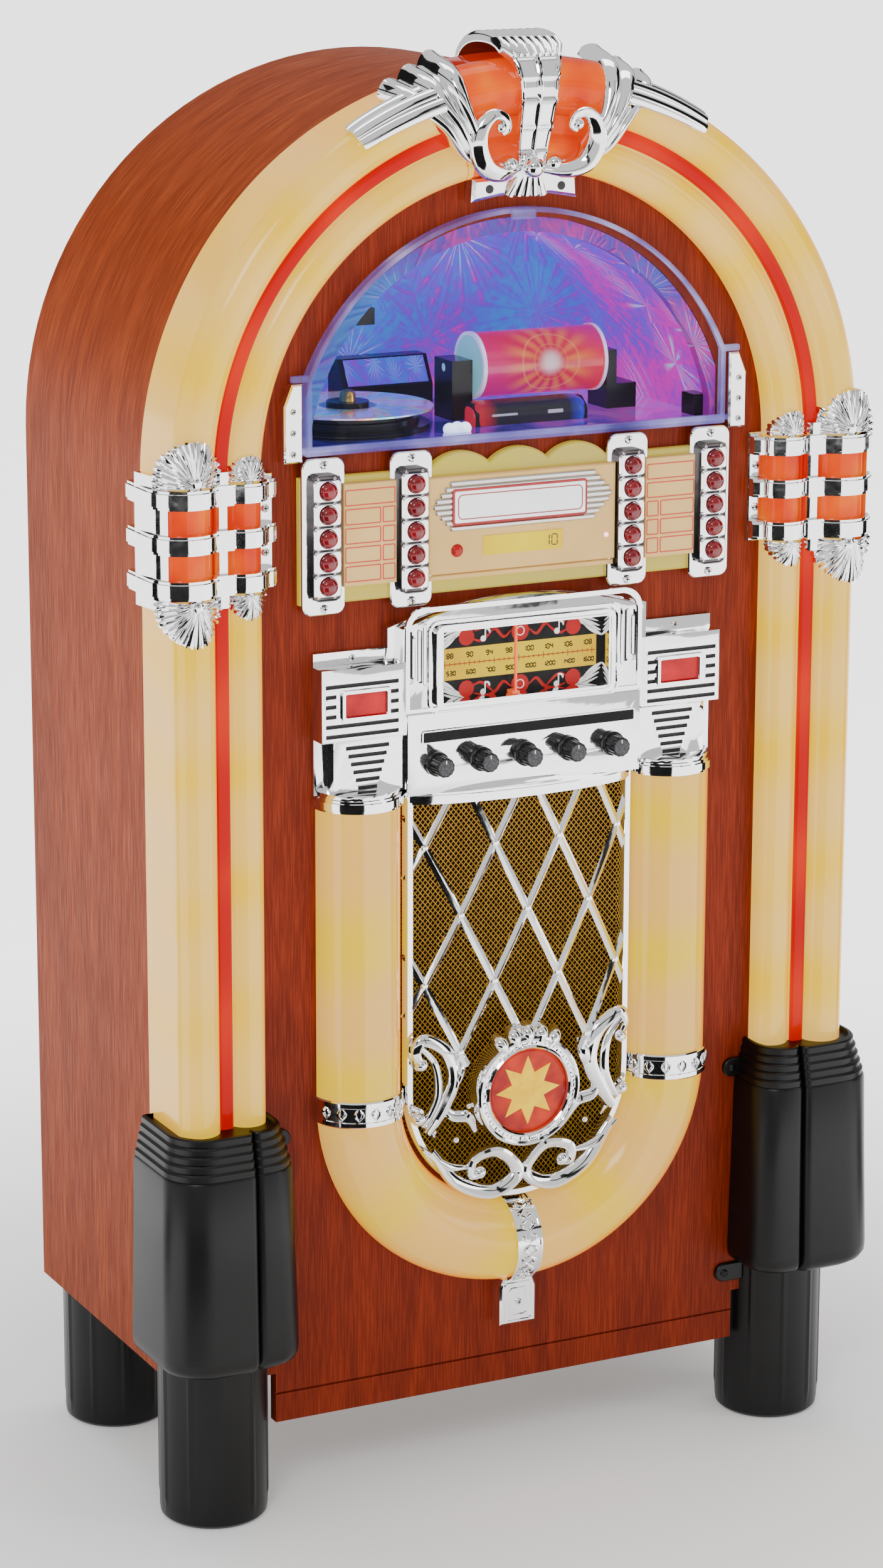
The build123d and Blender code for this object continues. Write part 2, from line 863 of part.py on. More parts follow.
# Filled shapes of the lenses, taken out of the castings that sit on them
with BuildPart() as column_core:
    with BuildSketch(spoke_plane(0)):
        add(lens_outline(lens_outer, outer_lobe_base, lens_wrap))
    revolve(axis=arch_axis(arch_height), revolution_arc=90)
    with BuildSketch(level_plane(column_foot)):
        add(lens_outline(lens_outer, outer_lobe_base, lens_wrap))
    extrude(amount=band_bottom - column_foot)

with BuildPart() as band_core:
    with BuildSketch(level_plane(band_bottom)):
        add(lens_outline(band_lens_outer, band_lens_base, band_lens_wrap))
    extrude(amount=arch_height - band_bottom)

with BuildPart() as crown_core:
    with BuildSketch(spoke_plane(60)):
        add(lens_outline(lens_outer, outer_lobe_base, lens_wrap))
    revolve(axis=arch_axis(arch_height), revolution_arc=60)
    with BuildSketch(spoke_plane(crown_start)):
        add(lens_outline(band_lens_outer, band_lens_base, band_lens_wrap))
    revolve(axis=arch_axis(arch_height), revolution_arc=2 * crown_half_angle)

# Scallops seen from the front: the shells above the top band and, turned over, below the last one
with BuildPart() as shells:
    with BuildSketch(level_plane(band_bottom - outer_shell_height)):
        add(lens_outline(band_lens_outer, band_lens_base, band_lens_wrap, swell=shell_swell))
    extrude(amount=band_top - band_bottom + 2 * outer_shell_height)
    with BuildSketch(front_plane(band_lens_wrap)):
        outer_middle = (outer_lobe_inner + band_lens_outer) / 2
        inner_middle = lens_inner + inner_lobe
        with Locations((outer_middle, band_top), (outer_middle, band_bottom)):
            Ellipse(outer_shell_half_width, outer_shell_height)
        with Locations((inner_middle, band_top), (inner_middle, band_bottom)):
            Ellipse(inner_shell_half_width, inner_shell_height)
        with Locations((outer_middle, (band_top + band_bottom) / 2)):
            Rectangle(3 * outer_middle, band_top - band_bottom, mode=Mode.SUBTRACT)
    extrude(amount=band_lens_wrap + 2 * band_lobe, mode=Mode.INTERSECT)

# Band casting: three bands over the lobes, a pillar in the groove and a screwed inner plate
with BuildPart() as shell_bands:
    for row in range(band_count):
        with BuildSketch(level_plane(band_top - band_height - row * band_pitch)):
            add(lens_outline(band_lens_outer, band_lens_base, band_lens_wrap, swell=band_swell))
        extrude(amount=band_height)
    block((pillar_inner, pillar_outer), (-pillar_reach, -groove_depth), (band_bottom, band_top))
    block((band_plate_inner, lens_inner), (-band_plate_thickness, 0), (band_bottom, band_top))
    add(shells.part)
    add(column_core.part, mode=Mode.SUBTRACT)
    add(band_core.part, mode=Mode.SUBTRACT)
    add(red_strips.part, mode=Mode.SUBTRACT)
    mirror(about=Plane.YZ)
shell_bands.part.label = "shell_bands"
export_step(shell_bands.part, "parts/shell_bands.step")

# Crown wings and arms, cut from a thick skin over the lenses by their outline from the front
crown_height = arch_height + lens_inner
skin_width = band_lens_outer - lens_inner
with BuildPart() as crown_wings:
    with BuildSketch(spoke_plane(arm_end_angle)):
        add(lens_outline(band_lens_outer, band_lens_base, lens_wrap, swell=crown_swell))
    revolve(axis=arch_axis(arch_height), revolution_arc=90 - arm_end_angle)
    wing_top = arch_height + band_lens_outer + 2 * crown_swell
    with BuildSketch(front_plane(lens_wrap)):
        with BuildLine():
            outer_edge, arm, inner_edge = (
                [(x, crown_height + share * skin_width) for x, share in points]
                for points in (wing_outer_edge, arm_tip, wing_inner_edge)
            )
            root = (wing_root, crown_height)
            Polyline(root, (wing_foot_half_width, crown_height), outer_edge[0])
            ThreePointArc(*outer_edge)
            Polyline(*arm, *((x, wing_top) for x in wing_top_half_widths))
            ThreePointArc((wing_top_half_widths[1], wing_top), *inner_edge)
            Line(inner_edge[1], root)
        make_face()
    extrude(amount=lens_wrap + 2 * band_lobe, mode=Mode.INTERSECT)

# Crown: base plate, waisted strap over the lens with a flared cap, wings, volutes and beads
with BuildPart() as crown_casting:
    base_top = crown_height - crown_swell
    base_bottom = base_top - crown_base_height
    strap_top = arch_height + band_lens_outer + strap_cap
    lobe_face = panel_face - inner_lobe_base - inner_lobe - crown_swell
    strap_face = panel_face - band_lens_base - band_lobe - strap_cover
    lobe_rise = outer_lobe_inner - lens_inner
    with BuildSketch(Plane.YZ.offset(-strap_high_half_width)):
        with BuildLine():
            Polyline(
                (panel_face, base_top),
                (panel_face - crown_base_reach - crown_swell, base_top),
                (lobe_face, crown_height + strap_foot_rise),
                (lobe_face, crown_height + strap_lobe_rise),
                (strap_face, crown_height + lobe_rise + strap_lobe_lap),
                (strap_face, crown_height + lobe_rise + band_lobe),
                (strap_face + strap_shoulder, arch_height + band_lens_outer + strap_shoulder_rise),
                (panel_face - crown_base_reach, strap_top),
                (panel_face + strap_back, strap_top - strap_cap / 2),
                (panel_face + strap_back, arch_height + band_lens_outer),
                (panel_face + lens_wrap, arch_height + cabinet_half_width),
                (panel_face, arch_height + cabinet_half_width),
                close=True,
            )
        make_face()
    extrude(amount=2 * strap_high_half_width)
    with BuildSketch(front_plane(strap_back)):
        with BuildLine():
            foot_left, foot_right = (-crown_foot_half_width, base_top), (crown_foot_half_width, base_top)
            waist = crown_height + strap_waist_rise
            flare = crown_height + strap_flare_rise
            Polyline(foot_left, foot_right, (strap_low_half_width, waist))
            ThreePointArc(
                (strap_low_half_width, waist),
                (strap_low_half_width + strap_swell, flare),
                (strap_high_half_width, strap_top),
            )
            Line((strap_high_half_width, strap_top), (-strap_high_half_width, strap_top))
            ThreePointArc(
                (-strap_high_half_width, strap_top),
                (-strap_low_half_width - strap_swell, flare),
                (-strap_low_half_width, waist),
            )
            Line((-strap_low_half_width, waist), foot_left)
        make_face()
    extrude(amount=3 * strap_back, mode=Mode.INTERSECT)
    with BuildSketch(front_plane(0)):
        with BuildLine():
            Polyline(
                (-crown_base_half_width, base_bottom),
                (0, base_bottom + crown_base_arch),
                (crown_base_half_width, base_bottom),
                (crown_base_half_width - crown_base_taper, base_top),
                (crown_base_taper - crown_base_half_width, base_top),
                close=True,
            )
        make_face()
    extrude(amount=crown_base_reach)
    add(crown_wings.part)
    add(crown_wings.part.mirror(Plane.YZ))
    for side in (-1, 1):
        round_along_y(
            side * volute_x,
            crown_height + volute_rise,
            volute_radius,
            (-band_lens_base - band_lobe - volute_cover, -crown_base_reach),
        )
    for bead in (-1, 0, 1):
        with Locations((bead * bead_spacing, lobe_face + crown_swell, crown_height + bead_rise)):
            Sphere(bead_radius)
    add(crown_core.part, mode=Mode.SUBTRACT)
    add(red_strips.part, mode=Mode.SUBTRACT)
crown_casting.part.label = "crown_casting"
export_step(crown_casting.part, "parts/crown_casting.step")

# Boots: a flared body with two lobes, five stepped rings and sockets for the column and the foot
ring_bottom = boot_top - ring_count * ring_height
with BuildPart() as foot_boots:
    with BuildSketch(level_plane(boot_bottom)):
        add(boot_outline(boot_growth))
    with BuildSketch(level_plane(ring_bottom)):
        add(boot_outline(0))
    loft(ruled=True)
    for ring in range(ring_count):
        with BuildSketch(level_plane(ring_bottom + ring * ring_height)):
            add(boot_outline(-(ring + 1) * ring_step))
        extrude(amount=ring_height)
    block(
        (0, cabinet_half_width),
        (0, cabinet_depth),
        (boot_bottom, boot_top),
        mode=Mode.SUBTRACT,
    )
    with BuildSketch(level_plane(column_foot)):
        add(lens_outline(lens_outer, outer_lobe_base, lens_wrap))
        with Locations((strip_middle, strip_depth)):
            Rectangle(strip_outer - strip_inner, strip_thickness)
    extrude(amount=boot_socket, mode=Mode.SUBTRACT)
    round_along_z(
        cabinet_half_width - front_foot_outset,
        front_foot_setback,
        foot_radius,
        (boot_bottom, cabinet_bottom + foot_rise),
        mode=Mode.SUBTRACT,
    )
    mirror(about=Plane.YZ)
foot_boots.part.label = "foot_boots"
export_step(foot_boots.part, "parts/foot_boots.step")

# Key panel: base with three lobes, raised centre and raised label fields
with BuildPart() as title_panel:
    with BuildSketch(front_plane(0)):
        with Locations((0, (panel_top + panel_bottom) / 2)):
            Rectangle(2 * panel_half_width, panel_top - panel_bottom)
        with Locations(*[(lobe * lobe_spacing, lobe_peak - lobe_radius) for lobe in (-1, 0, 1)]):
            Circle(lobe_radius)
    extrude(amount=panel_base)
    label_middle = (label_bottom + label_top) / 2
    with BuildSketch(front_plane(-panel_base)):
        with Locations((0, label_middle)):
            RectangleRounded(2 * label_half_width, label_top - label_bottom, 4)
        with Locations(
            ((label_inner + label_outer) / 2, label_middle), (-(label_inner + label_outer) / 2, label_middle)
        ):
            Rectangle(label_outer - label_inner, label_top - label_bottom)
    extrude(amount=label_raise)
    label_face = panel_base + label_raise
    block(
        (-display_half_width, display_half_width),
        (-label_face, display_thickness - display_proud - label_face),
        (display_bottom, display_bottom + display_height),
        mode=Mode.SUBTRACT,
    )
title_panel.part.label = "title_panel"
export_step(title_panel.part, "parts/title_panel.step")

with BuildPart() as display_window:
    block(
        (-display_half_width, display_half_width),
        (-label_face - display_proud, display_thickness - display_proud - label_face),
        (display_bottom, display_bottom + display_height),
    )
display_window.part.label = "display_window"
export_step(display_window.part, "parts/display_window.step")

# Key strips: a flange with rounded ends and a body with five blind bores
with BuildPart() as button_housings:
    key_middle = (key_top + key_bottom) / 2
    key_span = key_top - key_bottom
    with BuildSketch(front_plane(-panel_base)):
        with Locations(*[(x, key_middle) for x in key_columns]):
            RectangleRounded(
                2 * housing_flange_half_width, key_span + 2 * housing_flange_margin, housing_corner
            )
    extrude(amount=housing_flange)
    with BuildSketch(front_plane(-panel_base - housing_flange)):
        with Locations(*[(x, key_middle) for x in key_columns]):
            RectangleRounded(2 * housing_half_width, key_span + 2 * housing_margin, 2)
    extrude(amount=housing_depth)
    bore_bottom = key_length - key_proud + key_travel + joint_gap - housing_reach
    for x in key_columns:
        for row in range(key_rows):
            round_along_y(
                x,
                key_top - row * key_pitch,
                key_radius + joint_gap,
                (-housing_reach, bore_bottom),
                mode=Mode.SUBTRACT,
            )
button_housings.part.label = "button_housings"
export_step(button_housings.part, "parts/button_housings.step")

# Twenty keys, lettered by column from the left and numbered from the top
for letter, x in zip("abcd", key_columns):
    for row in range(key_rows):
        with BuildPart() as key:
            key_front = -housing_reach - key_proud
            round_along_y(x, key_top - row * key_pitch, key_radius, (key_front, key_front + key_length))
            chamfer(key.edges().filter_by(GeomType.CIRCLE).group_by(Axis.Y)[0], key_dome)
        key.part.label = f"button_{letter}{row + 1}"
        export_step(key.part, f"parts/button_{letter}{row + 1}.step")

# Radio front: arched centre, knob plate, two side boxes over tapered slot stacks
with BuildPart() as tuner_fascia:
    for half_width, reach in ((fascia_base_half_width, fascia_base), (fascia_half_width, fascia_reach)):
        with BuildSketch(front_plane(0)):
            with BuildLine():
                Polyline(
                    (half_width, fascia_shoulder),
                    (half_width, fascia_split),
                    (-half_width, fascia_split),
                    (-half_width, fascia_shoulder),
                )
                ThreePointArc(
                    (-half_width, fascia_shoulder), (0, fascia_peak), (half_width, fascia_shoulder)
                )
            make_face()
        extrude(amount=reach)
    block(
        (-knob_plate_half_width, knob_plate_half_width),
        (-knob_plate_reach, 0),
        (knob_plate_bottom, fascia_split),
    )
    for side in (-1, 1):
        block(
            sorted((side * knob_plate_half_width, side * side_box_outer)),
            (-side_box_reach, 0),
            (side_box_bottom, side_box_top),
        )
        block(
            sorted((side * side_box_inner, side * side_box_outer)),
            (-side_flange, 0),
            (side_box_top, side_flange_top),
        )
        block(
            sorted((side * knob_plate_half_width, side * stack_outer)),
            (-stack_reach, 0),
            (stack_bottom, side_box_bottom),
        )
        block(
            sorted((side * stack_outer, side * side_box_outer)),
            (-side_flange, 0),
            (stack_bottom, side_box_bottom),
        )
        # Half-round collar that closes the top of the light tube's leg
        with BuildSketch(level_plane(tube_top)):
            with BuildLine():
                ThreePointArc(
                    (side * tube_middle - tube_radius, 0),
                    (side * tube_middle, -tube_radius),
                    (side * tube_middle + tube_radius, 0),
                )
                Line((side * tube_middle + tube_radius, 0), (side * tube_middle - tube_radius, 0))
            make_face()
        extrude(amount=collar_height)
        # Long slots above and below the rocker, short ones beside it
        slot_middle = (side_box_inner + side_box_outer) / 2
        slot_end = (side_box_outer - side_box_inner) / 2 - slot_margin
        for step in range(long_slot_count):
            slot_z = side_box_top - long_slot_drop - step * slot_pitch
            beside = 0 < step < long_slot_count - 2
            short_spans = ((-slot_end, short_slot - slot_end), (slot_end - short_slot, slot_end))
            spans = short_spans if beside else ((-slot_end, slot_end),)
            for start, end in spans:
                block(
                    sorted((side * (slot_middle + start), side * (slot_middle + end))),
                    (-side_box_reach, slot_depth - side_box_reach),
                    (slot_z - slot_height / 2, slot_z + slot_height / 2),
                    mode=Mode.SUBTRACT,
                )
        # Stack of slots that narrows downward
        for step in range(stack_slot_count):
            slot_z = side_box_bottom - stack_slot_pitch * (step + 1)
            reach = stack_slot_half_width - stack_slot_taper * step
            stack_middle = (fascia_half_width + stack_outer) / 2
            block(
                sorted((side * (stack_middle - reach), side * (stack_middle + reach))),
                (-stack_reach, slot_depth - stack_reach),
                (slot_z - slot_height / 2, slot_z + slot_height / 2),
                mode=Mode.SUBTRACT,
            )
        # Upright flutes beside the dial
        for step in range(flute_count):
            flute_x = side * (fascia_half_width - flute_pitch - step * flute_pitch)
            block(
                (flute_x - flute_width / 2, flute_x + flute_width / 2),
                (-fascia_reach, slot_depth - fascia_reach),
                (flute_bottom, flute_top),
                mode=Mode.SUBTRACT,
            )
        # Framed pocket for the rocker, and the bearings for its pins
        frame_half_width = rocker_half_width + joint_gap + rocker_frame
        frame_half_height = rocker_half_height + rocker_swing_room + rocker_frame
        frame_x = (side * rocker_x - frame_half_width, side * rocker_x + frame_half_width)
        frame_z = (rocker_z - frame_half_height, rocker_z + frame_half_height)
        block(frame_x, (-side_box_reach - 1, slot_depth - side_box_reach), frame_z)
        pocket_x = (frame_x[0] + rocker_frame, frame_x[1] - rocker_frame)
        pocket_z = (frame_z[0] + rocker_frame, frame_z[1] - rocker_frame)
        block(pocket_x, (-side_box_reach - 1, -side_flange), pocket_z, mode=Mode.SUBTRACT)
        rocker_depth = -side_box_reach + rocker_thickness / 2
        pin_room = rocker_half_width + rocker_pin_length + 2 * joint_gap
        round_along_x(
            rocker_depth,
            rocker_z,
            rocker_pin + shaft_gap,
            (side * rocker_x - pin_room, side * rocker_x + pin_room),
            mode=Mode.SUBTRACT,
        )
    # Dial frame and its pocket
    block((-dial_half_width, dial_half_width), (-dial_reach, -fascia_reach), (dial_bottom, dial_top))
    pocket_half_width = dial_half_width - dial_border
    pocket_back = dial_pocket_depth - dial_reach
    block(
        (-pocket_half_width, pocket_half_width),
        (-dial_reach, pocket_back),
        (dial_bottom + dial_border, dial_top - dial_border),
        mode=Mode.SUBTRACT,
    )
    # Bearings for the five knob shafts
    for place in range(-2, 3):
        round_along_y(
            place * knob_spacing,
            knob_height,
            knob_shaft + shaft_gap,
            (-knob_plate_reach, knob_shaft_length + joint_gap - knob_plate_reach),
            mode=Mode.SUBTRACT,
        )
tuner_fascia.part.label = "tuner_fascia"
export_step(tuner_fascia.part, "parts/tuner_fascia.step")

glass_front = 0.5 - dial_reach
with BuildPart() as dial_plate:
    block(
        (-pocket_half_width, pocket_half_width),
        (glass_front, glass_front + dial_glass),
        (dial_bottom + dial_border, dial_top - dial_border),
    )
dial_plate.part.label = "dial_plate"
export_step(dial_plate.part, "parts/dial_plate.step")

# Pointer: an upright needle behind the glass, its slider resting along the pocket's lower edge
with BuildPart() as dial_pointer:
    needle_front = glass_front + dial_glass + joint_gap
    needle_bottom = dial_bottom + dial_border + joint_gap
    needle_top = dial_top - dial_border - joint_gap
    block(
        (pointer_x - pointer_width / 2, pointer_x + pointer_width / 2),
        (needle_front, needle_front + pointer_thickness),
        (needle_bottom, needle_top),
    )
    block(
        (pointer_x - 2 * pointer_width, pointer_x + 2 * pointer_width),
        (needle_front, pocket_back - joint_gap),
        (needle_bottom, needle_bottom + pointer_thickness),
    )
dial_pointer.part.label = "dial_pointer"
export_step(dial_pointer.part, "parts/dial_pointer.step")

# Rocker switches with a pin at each end
for name, side in (("power_rocker", -1), ("light_rocker", 1)):
    with BuildPart() as rocker:
        middle = side * rocker_x
        block(
            (middle - rocker_half_width, middle + rocker_half_width),
            (rocker_depth - rocker_thickness / 2, rocker_depth + rocker_thickness / 2),
            (rocker_z - rocker_half_height, rocker_z + rocker_half_height),
        )
        pin_reach = rocker_half_width + rocker_pin_length
        round_along_x(rocker_depth, rocker_z, rocker_pin, (middle - pin_reach, middle + pin_reach))
    rocker.part.label = name
    export_step(rocker.part, f"parts/{name}.step")

# Fluted knobs, each with a skirt and a shaft
knob_back = -knob_plate_reach - joint_gap
for place, name in enumerate(("volume", "treble", "tuning", "bass", "function")):
    with BuildPart() as knob:
        knob_x = (place - 2) * knob_spacing
        round_along_y(knob_x, knob_height, knob_skirt_radius, (knob_back - knob_skirt, knob_back))
        round_along_y(knob_x, knob_height, knob_radius, (knob_back - knob_length, knob_back))
        with BuildSketch(front_plane(knob_back - knob_skirt)):
            with Locations((knob_x, knob_height)):
                with PolarLocations(knob_radius + knob_flute_radius / 2, knob_flutes):
                    Circle(knob_flute_radius)
        extrude(amount=knob_length - knob_skirt, mode=Mode.SUBTRACT)
        round_along_y(knob_x, knob_height, knob_shaft, (knob_back, knob_shaft_length - knob_plate_reach))
    knob.part.label = f"knob_{name}"
    export_step(knob.part, f"parts/knob_{name}.step")

# Light tube round the grille: a half-round wall along a U
with BuildPart() as u_lens:
    with BuildSketch(level_plane(tube_arc_height)):
        add(half_ring(tube_middle, tube_radius, tube_radius - tube_wall))
        add(half_ring(-tube_middle, tube_radius, tube_radius - tube_wall))
    extrude(amount=tube_top - tube_arc_height)
    with BuildSketch(level_plane(tube_arc_height)):
        add(half_ring(tube_middle, tube_radius, tube_radius - tube_wall))
    revolve(axis=arch_axis(tube_arc_height), revolution_arc=-180)
u_lens.part.label = "u_lens"
export_step(u_lens.part, "parts/u_lens.step")

# Filled shape of the tube, taken out of the pieces that cross it
with BuildPart() as tube_core:
    with BuildSketch(level_plane(tube_arc_height)):
        add(half_ring(tube_middle, tube_radius, 0.1))
        add(half_ring(-tube_middle, tube_radius, 0.1))
    extrude(amount=tube_top - tube_arc_height)
    with BuildSketch(level_plane(tube_arc_height)):
        add(half_ring(tube_middle, tube_radius, 0.1))
    revolve(axis=arch_axis(tube_arc_height), revolution_arc=-180)

# Clips over the two legs and the strap with its foot block at the bottom
clip_radius = tube_radius + clip_thickness
strap_middle = tube_arc_height - tube_middle
with BuildPart() as lens_clips:
    with BuildSketch(level_plane(clip_bottom)):
        add(half_ring(tube_middle, clip_radius, tube_radius - tube_wall))
        add(half_ring(-tube_middle, clip_radius, tube_radius - tube_wall))
    extrude(amount=clip_height)
    across = Plane((strap_half_width, panel_face, strap_middle), x_dir=(0, 0, 1), z_dir=(-1, 0, 0))
    with BuildSketch(across):
        add(half_ring(0, clip_radius, tube_radius - tube_wall))
    extrude(amount=2 * strap_half_width)
    foot_top = strap_middle - clip_radius + strap_foot_lap
    block(
        (-strap_foot_half_width, strap_foot_half_width),
        (-strap_foot_reach, 0),
        (foot_top - strap_foot_height, foot_top),
    )
    add(u_lens.part, mode=Mode.SUBTRACT)
    add(tube_core.part, mode=Mode.SUBTRACT)
lens_clips.part.label = "lens_clips"
export_step(lens_clips.part, "parts/lens_clips.step")


def grille_outline(inset):
    """The U inside the light tube, drawn in from it all round and closed along the knob plate."""
    reach = grille_half_width - inset
    top = knob_plate_bottom
    with BuildSketch() as outline:
        with BuildLine():
            Polyline((reach, tube_arc_height), (reach, top), (-reach, top), (-reach, tube_arc_height))
            ThreePointArc((-reach, tube_arc_height), (0, tube_arc_height - reach), (reach, tube_arc_height))
        make_face()
    return outline.sketch


def bow_outline(grow, thickness):
    """Bowed wall in plan: the front half of an oval ring."""
    with BuildSketch() as outline:
        Ellipse(bow_half_width + grow, bow_reach + grow)
        Ellipse(bow_half_width + grow - thickness, bow_reach + grow - thickness, mode=Mode.SUBTRACT)
        with Locations((0, bow_reach)):
            Rectangle(3 * bow_half_width, 2 * bow_reach, mode=Mode.SUBTRACT)
    return outline.sketch


grille_half_width = tube_inner - clip_thickness - joint_gap
with BuildPart() as speaker_mesh:
    with BuildSketch(front_plane(0)):
        add(grille_outline(0))
    extrude(amount=mesh_thickness)
speaker_mesh.part.label = "speaker_mesh"
export_step(speaker_mesh.part, "parts/speaker_mesh.step")

# Bowed top bar, as wide as the gap between the tube's legs
with BuildPart() as top_bar:
    with BuildSketch(level_plane(knob_plate_bottom - top_bar_height)):
        add(bow_outline(top_bar_swell, lattice_depth + top_bar_swell))
    extrude(amount=top_bar_height)
    block(
        (-grille_half_width, grille_half_width),
        (-2 * bow_reach, -mesh_thickness),
        (knob_plate_bottom - top_bar_height, knob_plate_bottom),
        mode=Mode.INTERSECT,
    )

def beside_ring(shares):
    """Points counted from the ring's centre in shares of the lattice's half width."""
    return [(bow_half_width * across, medallion_height + bow_half_width * up) for across, up in shares]


# Curled leaves and balls below the lattice with the medallion's ring and its crest
with BuildPart() as scrollwork:
    with BuildSketch(front_plane(-scroll_base)):
        for curl in (upper_scroll, lower_scroll, leaf, stem):
            add(scroll(beside_ring(curl), scroll_width))
        with Locations(*beside_ring(scroll_balls)):
            Circle(ball_radius)
        mirror(about=Plane.YZ)
        add(grille_outline(0), mode=Mode.INTERSECT)
    extrude(amount=scroll_reach - scroll_base)
    with BuildSketch(front_plane(-ring_back)):
        with Locations((0, medallion_height)):
            Circle(ring_outer_radius)
            with PolarLocations(ring_outer_radius, crest_bead_count, crest_start, crest_turn, endpoint=True):
                Circle(crest_bead_radius)
    extrude(amount=ring_reach - ring_back)

# Grille: a bowed lattice of crossing bars with a U rail, the top bar and the scrollwork
lattice_lean = degrees(atan2(lattice_spacing / 2, lattice_rise))
lattice_reach = ceil((grille_half_width + knob_plate_bottom - lattice_bottom) / lattice_spacing)
with BuildPart() as grille_casting:
    with BuildSketch(front_plane(0)):
        for lean in (-lattice_lean, lattice_lean):
            for step in range(-lattice_reach, lattice_reach):
                with Locations(((step + 0.5) * lattice_spacing, lattice_first_crossing)):
                    Rectangle(lattice_bar, 4 * lattice_first_crossing, rotation=lean)
        add(grille_outline(0), mode=Mode.INTERSECT)
        with Locations((0, lattice_bottom + knob_plate_bottom / 2)):
            Rectangle(2 * tube_middle, knob_plate_bottom, mode=Mode.INTERSECT)
    extrude(amount=2 * bow_reach)
    with BuildSketch(level_plane(lattice_bottom)):
        add(bow_outline(0, lattice_depth))
    extrude(amount=knob_plate_bottom - lattice_bottom - top_bar_height, mode=Mode.INTERSECT)
    with BuildSketch(front_plane(-mesh_thickness)):
        add(grille_outline(0))
        add(grille_outline(rail_width), mode=Mode.SUBTRACT)
    extrude(amount=rail_reach)
    add(top_bar.part)
    add(scrollwork.part)
    round_along_y(0, medallion_height, ring_inner_radius, (-ring_reach, 0), mode=Mode.SUBTRACT)
grille_casting.part.label = "grille_casting"
export_step(grille_casting.part, "parts/grille_casting.step")

# Red lens with a raised eight-pointed star
with BuildPart() as star_medallion:
    round_along_y(0, medallion_height, ring_inner_radius, (-medallion_reach, -ring_back))
    for depth, share in ((medallion_reach, 1), (medallion_reach + star_height, 0.1)):
        with BuildSketch(front_plane(-depth)):
            with BuildLine():
                corners = []
                for corner in range(2 * star_points):
                    reach = share * (star_notch_radius if corner % 2 else star_tip_radius)
                    turn = radians(corner * 180 / star_points)
                    corners.append((reach * sin(turn), medallion_height + reach * cos(turn)))
                Polyline(*corners, close=True)
            make_face()
    loft(ruled=True)
star_medallion.part.label = "star_medallion"
export_step(star_medallion.part, "parts/star_medallion.step")

# Loudspeakers behind the board: flange, basket, magnet and the hollow of the cone
with BuildPart() as speakers:
    flange_back = board + speaker_flange_thickness
    cone_back = board + speaker_depth - magnet_length
    for height in speaker_heights:
        round_along_y(0, height, speaker_flange, (board, flange_back))
        round_along_y(0, height, magnet_radius, (cone_back, board + speaker_depth))
        basket_middle = (flange_back + cone_back) / 2
        with Locations(Location((0, panel_face + basket_middle, height), (90, 0, 0))):
            Cone(magnet_radius, speaker_hole, cone_back - flange_back)
        with Locations(Location((0, panel_face + board + magnet_length / 2, height), (90, 0, 0))):
            mouth = speaker_hole - speaker_flange_thickness
            Cone(magnet_radius / 2, mouth, magnet_length, mode=Mode.SUBTRACT)
speakers.part.label = "speakers"
export_step(speakers.part, "parts/speakers.step")

# Amplifier tray on the floor board, with its transformer
with BuildPart() as amplifier:
    floor_top = cabinet_bottom + floor_board
    tray_depth = (amplifier_setback, amplifier_setback + amplifier_depth)
    tray_height = (floor_top, floor_top + amplifier_height)
    block((-amplifier_half_width, amplifier_half_width), tray_depth, tray_height)
    block(
        (sheet - amplifier_half_width, amplifier_half_width - sheet),
        (tray_depth[0] + sheet, tray_depth[1] - sheet),
        (floor_top + sheet, floor_top + amplifier_height),
        mode=Mode.SUBTRACT,
    )
    transformer_y = amplifier_setback + amplifier_depth / 2
    block(
        (amplifier_half_width - 1.5 * transformer, amplifier_half_width - transformer / 2),
        (transformer_y - transformer / 2, transformer_y + transformer / 2),
        (floor_top + sheet, floor_top + sheet + transformer),
    )
amplifier.part.label = "amplifier"
export_step(amplifier.part, "parts/amplifier.step")

# Plate on the back board with the mains inlet, the aerial socket and two line sockets
with BuildPart() as rear_sockets:
    block(
        (-socket_half_width, socket_half_width),
        (back_face, back_face + socket_plate),
        (socket_bottom, socket_bottom + socket_height),
    )
    socket_z = socket_bottom + socket_height / 2
    inlet_x = -socket_half_width / 2
    block(
        (inlet_x - inlet_width / 2 - inlet_wall, inlet_x + inlet_width / 2 + inlet_wall),
        (cabinet_depth - inlet_depth - inlet_wall, cabinet_depth),
        (socket_z - inlet_height / 2 - inlet_wall, socket_z + inlet_height / 2 + inlet_wall),
    )
    with BuildSketch(front_plane(cabinet_depth)):
        with Locations((inlet_x, socket_z)):
            SlotOverall(inlet_width, inlet_height)
    extrude(amount=inlet_depth, mode=Mode.SUBTRACT)
    for side in (-1, 1):
        round_along_y(
            inlet_x + side * inlet_pin_spacing / 2,
            socket_z,
            inlet_pin,
            (cabinet_depth - inlet_depth, cabinet_depth - inlet_wall),
        )
    for share, outer in socket_rings:
        x = share * socket_half_width
        round_along_y(x, socket_z, outer, (back_face, cabinet_depth))
        round_along_y(x, socket_z, outer * 0.6, (back_face + socket_plate, cabinet_depth), mode=Mode.SUBTRACT)
        round_along_y(x, socket_z, outer * 0.2, (back_face + socket_plate, cabinet_depth))
rear_sockets.part.label = "rear_sockets"
export_step(rear_sockets.part, "parts/rear_sockets.step")
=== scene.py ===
import bmesh
import bpy
import numpy as np
from mathutils import Matrix, Vector


